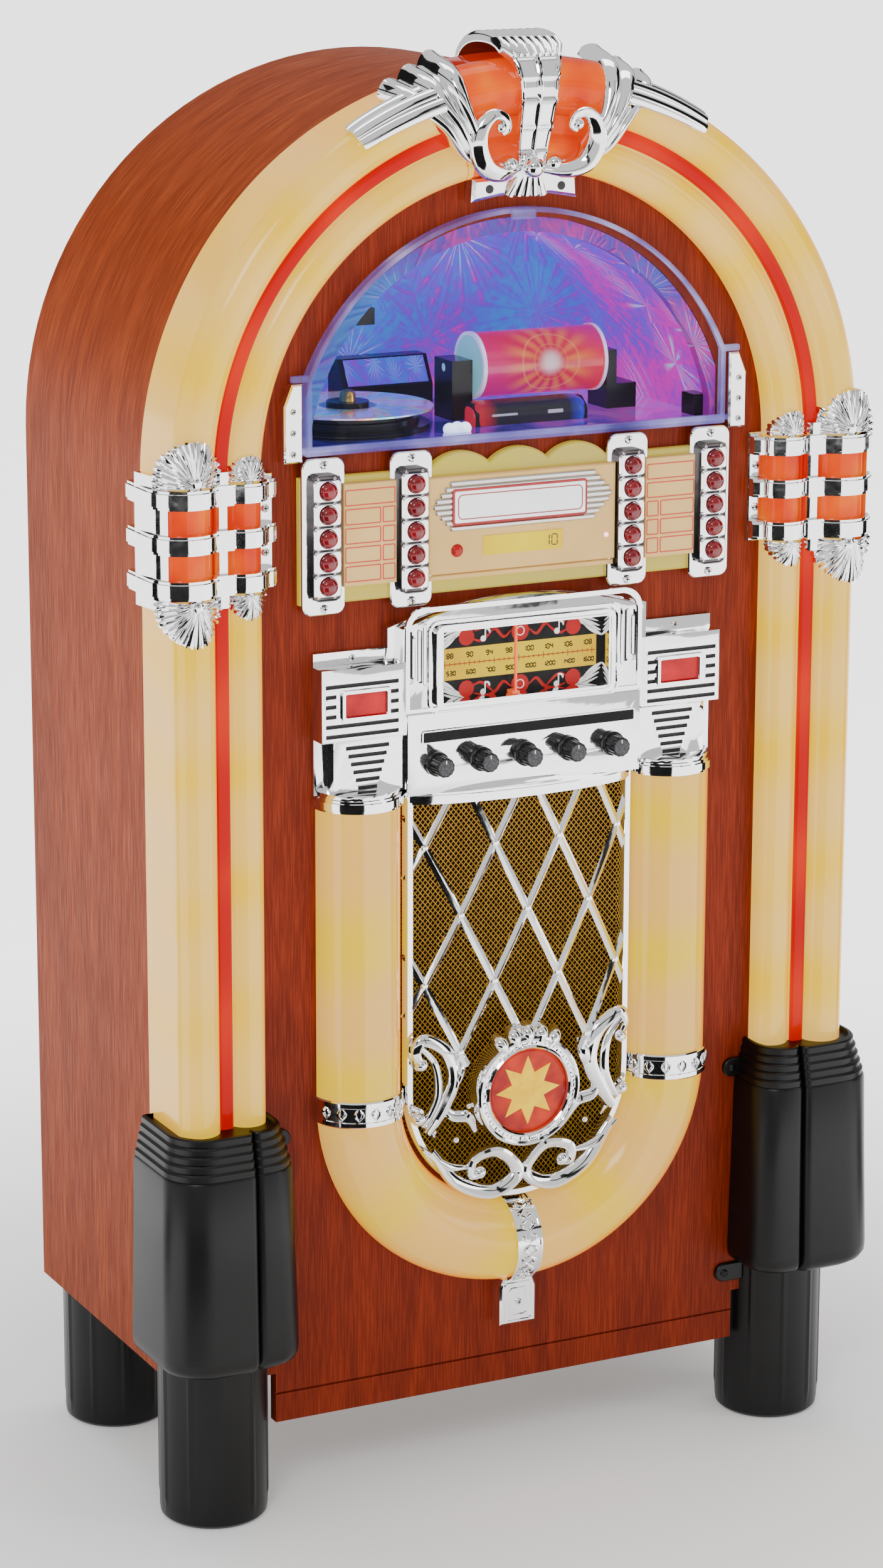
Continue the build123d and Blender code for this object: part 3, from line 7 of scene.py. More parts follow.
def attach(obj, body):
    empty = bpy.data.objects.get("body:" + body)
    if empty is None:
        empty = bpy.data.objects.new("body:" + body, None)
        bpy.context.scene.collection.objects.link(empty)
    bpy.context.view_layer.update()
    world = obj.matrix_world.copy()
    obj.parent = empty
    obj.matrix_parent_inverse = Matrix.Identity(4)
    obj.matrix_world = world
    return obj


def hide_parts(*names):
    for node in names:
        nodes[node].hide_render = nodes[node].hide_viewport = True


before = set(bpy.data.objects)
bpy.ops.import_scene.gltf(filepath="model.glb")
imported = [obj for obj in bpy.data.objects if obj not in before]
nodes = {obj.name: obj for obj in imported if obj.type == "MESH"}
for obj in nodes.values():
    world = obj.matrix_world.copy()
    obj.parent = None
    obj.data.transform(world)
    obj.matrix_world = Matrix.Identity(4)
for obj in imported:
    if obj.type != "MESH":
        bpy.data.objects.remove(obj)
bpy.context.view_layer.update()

# Cabinet. A bent plywood board makes both sides and the half-round top, glued round a flat front
# board, a floor board and a back board. Sides, top and front carry a satin mahogany veneer whose
# grain runs up the sides and follows the bend over the top.
cabinet_half_width = 0.261
cabinet_arch_height = 0.7495
panel_face = -0.105


class Wire:
    """A node's output. Plus, minus, times, over and powers of wires add Math nodes beside it."""

    def __init__(self, tree, socket=None):
        self.tree = tree
        self.socket = socket

    def node(self, kind, sockets, output=0, stops=None, **settings):
        """Adds a node: first its settings and ramp stops, then the values or wires of its sockets."""
        made = self.tree.nodes.new("ShaderNode" + kind)
        for setting, value in settings.items():
            setattr(made, setting, value)
        if stops:
            elements = made.color_ramp.elements
            elements.remove(elements[1])
            elements[0].position = stops[0][0]
            elements[0].color = (*stops[0][1], 1)
            for place, colour in stops[1:]:
                elements.new(place).color = (*colour, 1)
        for socket, value in sockets.items():
            if isinstance(value, Wire):
                self.tree.links.new(value.socket, made.inputs[socket])
            else:
                made.inputs[socket].default_value = value
        return Wire(self.tree, made.outputs[output])

    def math(self, operation, *values):
        """A Math node of the wire and up to two more values."""
        return self.node("Math", dict(enumerate((self, *values))), operation=operation)

    def __add__(self, other):
        return self.math("ADD", other)

    __radd__ = __add__

    def __sub__(self, other):
        return self.math("SUBTRACT", other)

    def __rsub__(self, other):
        return self.node("Math", {0: other, 1: self}, operation="SUBTRACT")

    def __mul__(self, other):
        return self.math("MULTIPLY", other)

    def __truediv__(self, other):
        return self.math("DIVIDE", other)

    def __pow__(self, other):
        return self.math("POWER", other)

    def within(self, low, high):
        """A soft step: 0 below low, 1 above high."""
        return self.node("MapRange", {"Value": self, "From Min": low, "From Max": high},
                         interpolation_type="SMOOTHSTEP")

    def blend(self, first, second):
        """A colour between two, by this wire's value."""
        return self.node("Mix", {0: self, 6: first, 7: second}, output=2, data_type="RGBA")

    def ramp(self, *stops):
        """A colour from stops of place and colour."""
        return self.node("ValToRGB", {"Fac": self}, stops=stops)

    def noise(self, scale, detail=2.0, **more):
        """Soft noise over this vector."""
        return self.node("TexNoise", {"Vector": self, "Scale": scale, "Detail": detail, **more})

    def bump(self, strength, distance):
        """Normals of a relief as high as this wire."""
        return self.node("Bump", {"Height": self, "Strength": strength, "Distance": distance})

    def axes(self):
        """The three coordinates of a vector."""
        return [self.node("SeparateXYZ", {"Vector": self}, output=axis) for axis in range(3)]

    def to(self, shader, socket):
        """Leads the wire into a socket of the material's shader."""
        self.tree.links.new(self.socket, shader.inputs[socket])


def finish(name, **plain):
    """A material, its shader with plain socket values set, and the place on the object."""
    material = bpy.data.materials.new(name)
    material.use_nodes = True
    shader = material.node_tree.nodes["Principled BSDF"]
    for socket, value in plain.items():
        shader.inputs[socket.replace("_", " ")].default_value = value
    return material, shader, Wire(material.node_tree).node("TexCoord", {}, output=3)


def veneer(name, bent):
    """Mahogany: long thin pores and broad figure, stretched along the grain; on the bent board the
    grain's length is the height up the sides and then the arc over the top."""
    material, shader, place = finish(
        name, IOR=1.45, Specular_IOR_Level=0.04 if bent else 0.12, Coat_Roughness=0.30)
    x, y, z = place.axes()
    if bent:
        rise = z - cabinet_arch_height
        turn = rise.math("MAXIMUM", 0.0).math("ARCTAN2", x.math("ABSOLUTE"))
        length = z.math("MINIMUM", cabinet_arch_height) + turn * cabinet_half_width
        across = y
    else:
        length = z
        across = x
    side = x.math("SIGN") * 3.1
    broad = place.node("CombineXYZ", {0: across * 9, 1: length * 1.1, 2: side})
    figure = broad.noise(2.2, 3.0, Distortion=0.7)
    rings = ((across * 95 + figure * 26).math("SINE") * 0.5 + 0.5) ** 2.0
    pores_at = place.node("CombineXYZ", {0: across * 900, 1: length * 26, 2: side})
    pores = pores_at.noise(1.0, 4.0, Roughness=0.65)
    flecks = pores.within(0.42, 0.62)
    tone = flecks * 0.34 + rings * 0.16 + figure * 0.30 + 0.10
    # Painted light: the bent board's shades are made lighter and more orange than the front board's, so the
    # sides and top are drawn as more lit than the front.
    painted_light_tint = (1.5, 2.6, 4.0) if bent else (1.05, 1.05, 1.0)
    stops = ((0.0, (0.070, 0.0050, 0.0004)), (0.40, (0.140, 0.0115, 0.0008)), (0.62, (0.185, 0.0165, 0.0012)),
             (1.0, (0.250, 0.0300, 0.0040)))
    colour = tone.ramp(*((at, tuple(a * b for a, b in zip(shade, painted_light_tint))) for at, shade in stops))
    colour.to(shader, "Base Color")
    (0.50 - flecks * 0.12).to(shader, "Roughness")
    (0.02 + pores * 0.06).to(shader, "Coat Weight")
    pores.bump(0.35, 0.0004).to(shader, "Normal")
    return material


def dress(names, material):
    """Gives carried-over pieces of the frame a finish in place of their plain one."""
    for name in names:
        nodes[name].data.materials.clear()
        nodes[name].data.materials.append(material)


dress(["cabinet_shell"], veneer("bent_veneer", bent=True))
dress(["front_panel"], veneer("front_veneer", bent=False))


def mottled(name, scale, base=None, glow=None, detail=2.0, rough=None, bump=None, **plain):
    """A finish that drifts with one soft noise between two shades, of its base colour, its glow or
    both. The noise may vary the roughness, by a span over a start, and raise a bump."""
    material, shader, place = finish(name, **plain)
    tone = place.noise(scale, detail)
    for shades, socket in ((base, "Base Color"), (glow, "Emission Color")):
        if shades:
            tone.ramp((0.3, shades[0]), (0.7, shades[1])).to(shader, socket)
    if rough:
        (tone * rough[0] + rough[1]).to(shader, "Roughness")
    if bump:
        tone.bump(*bump).to(shader, "Normal")
    return material


# Floor and back boards are raw fibreboard, brown with fine lighter fibres.
dress(["base_panel", "rear_panel"],
      mottled("fibreboard", 420.0, ((0.10, 0.050, 0.024), (0.20, 0.110, 0.055)), detail=5.0,
              bump=(0.3, 0.0005), Roughness=0.8))

# Feet. Four round black mouldings screwed under the floor board, with narrow upright fins on a
# smooth barrel and a rounded lower edge.
foot_radius = 38.6
fin_height = 0.9
fin_count = 10
turn = np.linspace(0, 2 * np.pi, 160, endpoint=False)


def tube(rings, tint=0, closed=False):
    """Walls between closed rings of points, and a cap on each end unless the last ring meets the
    first again."""
    rings = np.asarray(rings, float)
    if closed:
        rings = np.concatenate([rings, rings[:1]])
    index = np.arange(rings[..., 0].size).reshape(rings.shape[:2])
    after = np.roll(index, -1, 1)
    faces = np.stack([index[:-1], after[:-1], after[1:], index[1:]], -1).reshape(-1, 4).tolist()
    if not closed:
        faces += [index[0][::-1].tolist(), index[-1].tolist()]
    return rings.reshape(-1, 3), faces, tint


def placed(name, data):
    """A new object of the scene."""
    made = bpy.data.objects.new(name, data)
    bpy.context.scene.collection.objects.link(made)
    return made


def build(name, parts, materials, body="cabinet", hides=(), sharp=35):
    """One piece of the object. Its parts are in millimetres, with depths counted from the front
    board's face; faces are turned outwards and edges sharper than an angle stay crisp."""
    corners, faces, tints = [], [], []
    start = 0
    for points, polygons, tint in parts:
        corners.append(points)
        faces += [[start + corner for corner in polygon] for polygon in polygons]
        tints += [tint] * len(polygons)
        start += len(points)
    mesh = bpy.data.meshes.new(name)
    in_metres = (np.concatenate(corners) + (0, panel_face * 1000, 0)) / 1000
    mesh.from_pydata(in_metres.tolist(), [], faces)
    mesh.polygons.foreach_set("material_index", tints)
    shape = bmesh.new()
    shape.from_mesh(mesh)
    bmesh.ops.remove_doubles(shape, verts=shape.verts, dist=1e-6)
    bmesh.ops.recalc_face_normals(shape, faces=shape.faces)
    shape.to_mesh(mesh)
    shape.free()
    mesh.shade_smooth()
    mesh.set_sharp_from_angle(angle=np.radians(sharp))
    piece = placed(name, mesh)
    for material in materials:
        mesh.materials.append(material)
    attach(piece, body)
    if hides:
        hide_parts(*hides)


def foot(x, y, top):
    """A turned barrel: the radius is the profile's plus a fin wherever the turn passes one."""
    profile = np.array([(0.80, 0), (0.93, 0.8), (0.985, 3), (1, 7), (1, 14), (1, 18), (1, top)])
    near = np.abs((turn * fin_count / (2 * np.pi) + 0.35) % 1 - 0.5) / fin_count * 2 * np.pi
    fins = fin_height * np.clip(1.6 - near * foot_radius / 1.2, 0, 1)
    share = np.clip((profile[:, 1] - 12) / 5, 0, 1)
    radius = foot_radius * profile[:, :1] + fins * share[:, None]
    ring = np.stack([x + radius * np.cos(turn), y + radius * np.sin(turn)], -1)
    height = np.broadcast_to(profile[:, 1:, None], (*radius.shape, 1))
    return tube(np.concatenate([ring, height], -1))


def black_moulding(name, low, high, roughness, grain):
    """Black plastic with a fine pebbled grain and faint greyer wear."""
    material, shader, place = finish(name, Specular_IOR_Level=0.28)
    pebbles = place.noise(1500.0)
    clouds = place.noise(14.0, 4.0)
    clouds.ramp((0.35, (low, low, low)), (0.7, (high, high, high * 1.05))).to(shader, "Base Color")
    (clouds * 0.12 + roughness).to(shader, "Roughness")
    pebbles.bump(grain, 0.0002).to(shader, "Normal")
    return material


satin_black = black_moulding("satin_black", 0.001, 0.004, 0.28, 0.25)
feet_parts = [foot(side * 229, 16.3, 135) for side in (-1, 1)]
feet_parts += [foot(side * 221.5, 217, 102) for side in (-1, 1)]
build("ribbed_feet", feet_parts, [satin_black], hides=["feet"])

# Boots. Two black mouldings cover the lower front corners: a narrow and a wide lobe with a seam
# between them, five stepped rings at the top where the light column enters, tabs for screws.
boot_levels = ((-9, 125), (-3.5, 126.5), (0.5, 129.5), (2.6, 134), (2.9, 140), (1.2, 210), (0, 269.4),
               (-0.7, 271))


def arc(x, y, radius, start, stop, count=8):
    """Points on a circle between two turns, in degrees."""
    turns = np.radians(np.linspace(start, stop, count))
    return np.stack([x + radius * np.cos(turns), y + radius * np.sin(turns)], -1)


def at_height(plan, height):
    """A line seen from above, laid at a height."""
    return np.column_stack([plan, np.full(len(plan), height)])


def at_depth(line, depth):
    """A line seen from the front, laid at a depth."""
    return np.column_stack([line[:, 0], np.full(len(line), depth), line[:, 1]])


def boot_ring(swell, height):
    """The boot in plan: two lobes with round front corners, then the cabinet's corner behind them."""
    narrow = -46 - swell
    wide = -49 - swell
    plan = np.concatenate([
        [(186 - swell, 0.2)], arc(208 - swell, narrow + 22, 22, 180, 262),
        arc(214, narrow + 6, 6, 275, 350, 6), arc(226.3, wide + 6, 6, 185, 262, 6),
        arc(253 + swell, wide + 28, 28, 268, 360, 10), [(281 + swell, 30), (261.2, 30), (261.2, 0.2)]])
    return at_height(plan, height)


def mirrored(parts):
    """The parts and their reflections on the other side of the object."""
    return parts + [(points * (-1, 1, 1), faces, tint) for points, faces, tint in parts]


rings = [boot_ring(swell, height) for swell, height in boot_levels]
for step in range(5):
    base = 271 + step * 5.8
    inward = -1.2 - step * 1.35
    rings += [boot_ring(inward, base + 0.3), boot_ring(inward + 0.25, base + 4.6),
              boot_ring(inward - 0.5, base + 5.6)]
rings += [boot_ring(-9, 300.2), boot_ring(-9.5, 297)]
boots = mirrored([tube(rings)])


def plate(outline, levels, tint=0):
    """A flat piece seen from the front: its outline, drawn in by the inset of each level, at the
    level's depth; corners keep their mitre."""
    outline = np.asarray(outline, float)
    edge = np.roll(outline, -1, 0) - outline
    edge /= np.linalg.norm(edge, axis=1)[:, None]
    normal = np.stack([-edge[:, 1], edge[:, 0]], -1)
    before = np.roll(normal, 1, 0)
    mitre = (normal + before) / (1 + (normal * before).sum(1))[:, None]
    area = (outline[:, 0] * np.roll(outline[:, 1], -1) - np.roll(outline[:, 0], -1) * outline[:, 1]).sum()
    return tube([at_depth(outline + mitre * inset * np.sign(area), depth) for inset, depth in levels], tint)


def rounded(x, z, width, height, radius, count=5):
    """Outline of a rectangle with round corners."""
    half = width / 2 - radius
    rise = height / 2 - radius
    return np.concatenate([
        arc(x + half, z + rise, radius, 0, 90, count), arc(x - half, z + rise, radius, 90, 180, count),
        arc(x - half, z - rise, radius, 180, 270, count), arc(x + half, z - rise, radius, 270, 360, count)])


def slab(x, z, width, height, radius, back, front, tint=0, count=5):
    """A rectangle with round corners, as thick as the two depths are apart."""
    return plate(rounded(x, z, width, height, radius, count), ((0, back), (0, front)), tint)


def disc(x, z, radius, levels, tint=0, count=24):
    """A round piece seen from the front, with the radius drawn in at each level."""
    return plate(arc(x, z, radius, 0, 360 - 360 / count, count), levels, tint)


def screw(x, z, face, radius=2.6):
    """Pan-head screw on a face, with two crossed slots let into its dome; the slots are thin plates
    whose dark finish is painted shade.
    """
    head = disc(x, z, radius, ((0, face), (0.1, face - 0.7), (0.7, face - 1.4), (radius * 0.6, face - 1.8)),
                count=16)
    cuts = [slab(x, z, radius * wide, radius * tall, 0.15, face - 1.5, face - 1.86, 1, 2)
            for wide, tall in ((1.1, 0.3), (0.3, 1.1))]
    return [head, *cuts]


for height, across in ((278.6, 184.5), (118, 181)):
    tab = np.concatenate([
        arc(across - 2, height, 7, 90, 270, 10), [(across + 14, height - 7), (across + 14, height + 7)]])
    boots += mirrored([plate(tab, ((0, 0), (0, -2.5), (0.8, -3.4)))])
    boots += mirrored(screw(across - 2, height, -3.2, 3.0))
build("stepped_boots", boots, [satin_black], hides=["foot_boots"], sharp=30)

# Light column. A milky cream moulding lit from inside stands on each boot and bends over the arch:
# a small round lobe inside, a large one outside and a flat groove between them.
arch_height = 749.5
column_foot = 294
crown_start = 76.6
groove_depth = 13


def column_section(outer, base, wrap, swell=0.0):
    """The column in section, radius by depth, as a closed line: half circle, groove, half circle
    and the wrapped outer side; swell moves the front outwards all round."""
    small = 13.6 + swell
    large_middle = (234.9 + outer) / 2
    large = (outer - 234.9) / 2 + swell
    small_end = np.degrees(np.arcsin((groove_depth + swell - 6.4) / small))
    large_start = np.degrees(np.arcsin((groove_depth + swell - base) / large))
    return np.concatenate([
        [(211 - small, 0)], arc(211, -6.4, small, 180, 360 - small_end, 14),
        arc(large_middle, -base, large, 180 + large_start, 360, 28),
        [(large_middle + large, wrap), (261.2, wrap), (261.2, 0)]])


def legs(section, low, high):
    """Rings of a section on a straight stretch between two heights."""
    return np.stack([at_height(section, height) for height in (low, high)])


def over_arch(section, start, stop, count=60):
    """Rings of a section on the arch: the radius turned up from the right about the arch's axis."""
    turns = np.radians(np.linspace(start, stop, count))[:, None]
    radius, depth = section[:, 0], section[:, 1] + 0 * turns
    return np.stack([radius * np.cos(turns), depth, arch_height + radius * np.sin(turns)], -1)


def shine_through(shader, glow, share):
    """The glow's colour, and the same colour darkened to a share for the lit surface."""
    glow.to(shader, "Emission Color")
    share.blend((0, 0, 0, 1), glow).to(shader, "Base Color")


def lit_plastic(name, edge, middle, spot, strength, pitch, bend=0.24, curve_height=0.7495, below=False,
                shine=0.34):
    """Milky plastic over small lamps: soft spots every pitch along the moulding, paler between and
    deeper in colour where the wall turns away. The length runs on round the bend's radius."""
    material, shader, place = finish(
        name, Roughness=0.14, Specular_IOR_Level=shine, Emission_Strength=strength)
    x, y, z = place.axes()
    away = (curve_height - z) if below else (z - curve_height)
    turn = away.math("MAXIMUM", 0.0).math("ARCTAN2", x.math("ABSOLUTE"))
    straight = z.math("MAXIMUM" if below else "MINIMUM", curve_height)
    length = straight + turn * (-bend if below else bend)
    drift = place.noise(5.0)
    wave = (length * (2 * np.pi / pitch) + drift * 5 + x.math("SIGN") * 1.3).math("SINE") * 0.5 + 0.5
    patches = place.noise(9.0, 1.0)
    lamp = wave ** 1.5 * patches.within(0.24, 0.52)
    facing = place.node("LayerWeight", {"Blend": 0.45}, output=1)
    hue = lamp.blend((*middle, 1), (*spot, 1))
    rim = (facing ** 2.5).within(0.05, 0.75)
    shine_through(shader, rim.blend(hue, (*edge, 1)), rim * 0.35 + 0.35)
    return material


cream_glow = lit_plastic(
    "cream_column", (0.80, 0.24, 0.01), (1.0, 0.60, 0.10), (1.0, 0.60, 0.0), 0.92, 0.092)
section = column_section(265.6, 13, 36.8)
band_top = 750.25
band_bottom = 675.75
columns = [tube(legs(section, column_foot, band_bottom + 3)),
           tube(over_arch(section, -0.2, crown_start + 1.5))]
build("cream_columns", mirrored(columns), [cream_glow], hides=["column_lenses"])

# Red strip. A bright red plastic strip is clipped along the groove from boot to crown; the lamps
# behind it leave brighter stretches.
strip_section = np.array([(224.4, -12), (224.4, -15.0), (225.6, -16.4), (229.6, -17.0), (233.6, -16.4),
                          (234.9, -15.0), (234.9, -12)])
red_glow = lit_plastic("red_strip", (0.25, 0.0, 0.0), (0.66, 0.0, 0.0), (0.86, 0.022, 0.0), 0.60, 0.12,
                       shine=0.10)
rings = np.concatenate([legs(strip_section, column_foot, arch_height - 0.5),
                        over_arch(strip_section, 0, crown_start + 1)])
build("red_strips_lit", mirrored([tube(rings)]), [red_glow], hides=["red_strips"])

# Orange lenses. Clear orange-red mouldings sit over the column behind the bands and under the
# crown; they are hottest in the middle and deep red at their edges.
orange, orange_shader, place = finish(
    "orange_window", Roughness=0.08, Specular_IOR_Level=0.14, Emission_Strength=0.78)
clouds = place.noise(22.0)
facing = place.node("LayerWeight", {"Blend": 0.35}, output=1)
inner_light = clouds.ramp((0.32, (0.75, 0.020, 0.0)), (0.52, (0.90, 0.085, 0.0)), (0.70, (1.0, 0.20, 0.0)))
lit_through = (facing ** 1.6).within(0.1, 0.8).blend(inner_light, (0.30, 0.002, 0.0, 1))
shine_through(orange_shader, lit_through, clouds * 0.3 + 0.25)
window_section = column_section(275, 9, 26)
windows = mirrored([tube(legs(window_section, band_bottom, arch_height))])
windows.append(tube(over_arch(window_section, crown_start, 180 - crown_start, 40)))
build("orange_windows", windows, [orange], hides=["orange_lenses"])

# Band castings. Chrome-plated mouldings clasp the column at the height of the arch's spring: three
# bands with stepped edges, posts between them, a screwed inner plate and fluted shells above and
# below. Plating is mirror-bright with a faint ripple.


def plating(name, colour, roughness, ripple):
    """Bright plating over moulded plastic: a mirror with long shallow waves and fine haze."""
    material, shader, place = finish(name, Metallic=1.0, Base_Color=(*colour, 1))
    waves = place.noise(55.0)
    haze = place.noise(210.0, 3.0)
    (haze * 0.07 + roughness).to(shader, "Roughness")
    waves.bump(ripple, 0.001).to(shader, "Normal")
    return material


chrome = plating("chrome_plating", (0.93, 0.93, 0.94), 0.035, 0.16)
# Painted shade: a near-black finish for screw slots, grooves, louvres and holes, where the recesses lie in
# shade.
recess_shade = mottled("painted_recess_shade", 300.0, ((0.006, 0.005, 0.005), (0.022, 0.016, 0.014)), Roughness=0.55)

castings = []
band_steps = ((3.6, 0), (4.6, 0.3), (4.6, 1.9), (5.8, 2.3), (5.8, 11.2), (4.6, 11.6), (4.6, 13.2),
              (3.6, 13.5))
square = np.array([(223.5, -22), (223.5, -24.4), (236.5, -24.4), (236.5, -22), (236.5, -12), (223.5, -12)])
tail = np.array([(186.4, -2), (186.4, -9.6), (190, -12.4), (200, -13.4), (204, -13), (204, -2)])
tail_steps = ((0.4, 0.8), (2.0, 0.6), (2.4, -0.4), (11.2, -0.4), (11.6, 0.6), (13.2, 0.8))
for row in range(3):
    base = band_top - 13.5 - row * 30.5
    castings.append(tube([at_height(column_section(275, 9, 26, swell), base + rise)
                          for swell, rise in band_steps]))
    castings.append(tube(legs(square, base - 0.2, base + 13.7)))
    castings.append(tube([at_height(tail + (0, drop), base + rise) for rise, drop in tail_steps]))
for low, high in ((band_bottom, band_top), (band_top, band_top + 9), (band_bottom - 9, band_bottom)):
    reach = 20.5 if high - low > 20 else 22.5
    pillar = np.array([(225.5, -12), (225.5, -reach + 1.5), (227, -reach), (233, -reach),
                       (234.5, -reach + 1.5), (234.5, -12)])
    castings.append(tube(legs(pillar, low, high)))
outer_post = column_section(275, 9, 26, 2.4)
keep = outer_post[:, 0] > 271
outer_post = np.concatenate([outer_post[keep & (outer_post[:, 1] < 12)], [(280.3, 12), (276, 12), (269, -8)]])
castings.append(tube(legs(outer_post, band_bottom - 8, band_top + 8)))


def box(left, right, low, high):
    """Outline of an upright rectangle."""
    return [(left, low), (right, low), (right, high), (left, high)]


castings.append(plate(box(186, 199.5, band_bottom - 2, band_top + 2), ((0, 0), (0, -2.4), (0.8, -3.2))))


def shell(middle, seat, half_width, height, upward, ribs, lobe_x, lobe_radius, lobe_base):
    """A scallop laid on the round lens: over its half-disc the skin rises with a fan of ribs, the
    ribs widen outwards, and its foot is a low boss."""
    turns = np.radians(np.linspace(-4, 184, ribs * 6 + 1))
    share = np.linspace(0.0, 1, 9)[:, None]
    rib = np.abs(np.sin((turns / np.pi * ribs) * np.pi))
    scallop = 1 - 0.07 * (1 - rib)
    across = middle + half_width * share * np.cos(turns) * scallop
    rise = seat + upward * height * share * np.sin(turns) * scallop
    off = np.clip((across - lobe_x) / lobe_radius, -0.93, 0.93)
    surface = lobe_base + lobe_radius * np.sqrt(1 - off ** 2)
    dome = 3.2 * np.sqrt(np.clip(1 - share ** 2 * 0.93, 0, 1))
    relief = dome + 2.3 * rib ** 0.8 * share ** 0.6 + 0.6
    front = np.stack([across, -(surface + relief), rise], -1)
    back = np.stack([across, -(surface - 2.5) + 0 * rise, rise], -1)
    rings = np.concatenate([front, back[::-1]])
    points = rings.reshape(-1, 3)
    index = np.arange(len(points)).reshape(rings.shape[:2])
    quads = np.stack([index[:-1, :-1], index[:-1, 1:], index[1:, 1:], index[1:, :-1]], -1).reshape(-1, 4)
    ends = [index[:, 0].tolist(), index[::-1, -1].tolist()]
    return points, quads.tolist() + ends, 0


def dome(x, z, radius, face, bulge):
    """A round boss: rings that shrink as the sine while the depth grows as the cosine."""
    lift = np.radians(np.linspace(0, 84, 6))
    return disc(x, z, radius, [(0, face + 1)] + [
        (radius * (1 - np.cos(t)), face - bulge * np.sin(t)) for t in lift])


for upward, seat in ((1, band_top + 2), (-1, band_bottom - 2)):
    castings.append(shell(254.5, seat, 24.5, 31, upward, 19, 254.95, 20.05, 9))
    castings.append(shell(211, seat, 15, 17, upward, 13, 211, 13.6, 6.4))
    castings.append(dome(254, seat + upward * 3, 6.5, -29.5, 4.5))
    castings.append(dome(211, seat + upward * 2, 4.5, -20.5, 3.2))
castings = mirrored(castings)
for height in (728.6, 698.4):
    castings += mirrored(screw(191.8, height, -3.2, 2.9))
build("band_castings", castings, [chrome, recess_shade], hides=["shell_bands"], sharp=32)

# Crown. One chrome-plated moulding over the top of the arch: a screwed foot, three beads, a waisted
# strap of panels that flares into a ribbed cap, two fluted wings with an arm each, and volutes.


def curve(points, count):
    """A smooth line through points: each stretch is the cubic whose slopes join the neighbours."""
    points = np.asarray(points, float)
    ends = np.concatenate([[2 * points[0] - points[1]], points, [2 * points[-1] - points[-2]]])
    along = np.linspace(0, len(points) - 1, count)
    step = np.minimum(along.astype(int), len(points) - 2)
    share = (along - step)[:, None]
    a, b, c, d = ends[step], ends[step + 1], ends[step + 2], ends[step + 3]
    return 0.5 * (2 * b + (c - a) * share + (2 * a - 5 * b + 4 * c - d) * share ** 2
                  + (3 * b - a - 3 * c + d) * share ** 3)


def bar(points, widths, count=40, sides=12, flutes=0, flute_depth=0.0, squash=1.0):
    """A bar along a smooth line: an oval section square to the line, as wide as the widths given
    at the line's points, with flutes sunk round it."""
    line = curve(points, count)
    width = curve(np.asarray(widths, float)[:, None], count)
    ahead = np.gradient(line, axis=0)
    ahead /= np.linalg.norm(ahead, axis=1)[:, None]
    side = np.cross(ahead, (0, 1, 0))
    side /= np.linalg.norm(side, axis=1)[:, None]
    up = np.cross(side, ahead)
    turns = np.linspace(0, 2 * np.pi, sides, endpoint=False)
    reach = 1 - flute_depth * (0.5 - 0.5 * np.cos(turns * flutes)) if flutes else np.ones(sides)
    rings = (line[:, None] + side[:, None] * (width * np.cos(turns) * reach)[..., None]
             + up[:, None] * (width * squash * np.sin(turns) * reach)[..., None])
    return tube(rings)


def ball(x, y, z, radius):
    """A bead: rings whose radius is the cosine of the height's turn."""
    lift = np.radians(np.linspace(-84, 84, 10))[:, None]
    turns = np.linspace(0, 2 * np.pi, 20, endpoint=False)
    return tube(np.stack([x + radius * np.cos(lift) * np.cos(turns), y + radius * np.sin(lift) + 0 * turns,
                          z + radius * np.cos(lift) * np.sin(turns)], -1))


def sheet(base, lift, below):
    """A thick skin over a grid of points: its face stands off the grid along the grid's own normal
    by the lift, its back lies below the grid by a fixed thickness."""
    along = np.gradient(base, axis=0)
    across = np.gradient(base, axis=1)
    normal = np.cross(along, across)
    normal /= np.linalg.norm(normal, axis=2)[..., None]
    normal *= np.sign((normal * (base - (0, 30, 930))).sum())
    front = base + normal * lift[..., None]
    back = base - normal * below
    return tube(np.concatenate([front, back[:, ::-1]], 1))


def strap():
    """The strap: a sheet over the lens whose half width grows from waist to cap, its depth taken
    from the outline seen from the side; raised lines frame two columns of dished panels."""
    side_line = curve([(-16, 940), (-21, 952), (-23.5, 966), (-29, 985), (-32.5, 1002), (-30, 1018),
                       (-22, 1029), (-8, 1036), (14, 1037), (32, 1033), (43, 1024), (45, 1011)], 140)
    run = np.linspace(0, 1, 140)[:, None]
    half = np.interp(run[:, 0], (0, 0.12, 0.25, 0.40, 0.50, 0.56, 1),
                     (10.5, 10.5, 12.5, 14.5, 18.5, 23.5, 26))
    across = np.linspace(-1, 1, 49)
    seams = np.array([0.15, 0.24, 0.33, 0.42, 0.50])
    line = np.exp(-(((run - seams) / 0.008) ** 2)).sum(1)[:, None]
    middle = np.exp(-((across / 0.09) ** 2))
    edge = np.exp(-(((np.abs(across) - 0.92) / 0.07) ** 2))
    framed = 1.5 * np.maximum(np.maximum(line, middle), edge)
    ribs = 3.2 * np.abs(np.sin(across * np.pi * 4.0)) + 0.4
    lift = np.where(run < 0.51, framed, ribs)
    wide = half[:, None] * across
    base = np.stack([wide, side_line[:, :1] + 0 * wide, side_line[:, 1:] + 0 * wide], -1)
    return sheet(base, lift, 4.0)


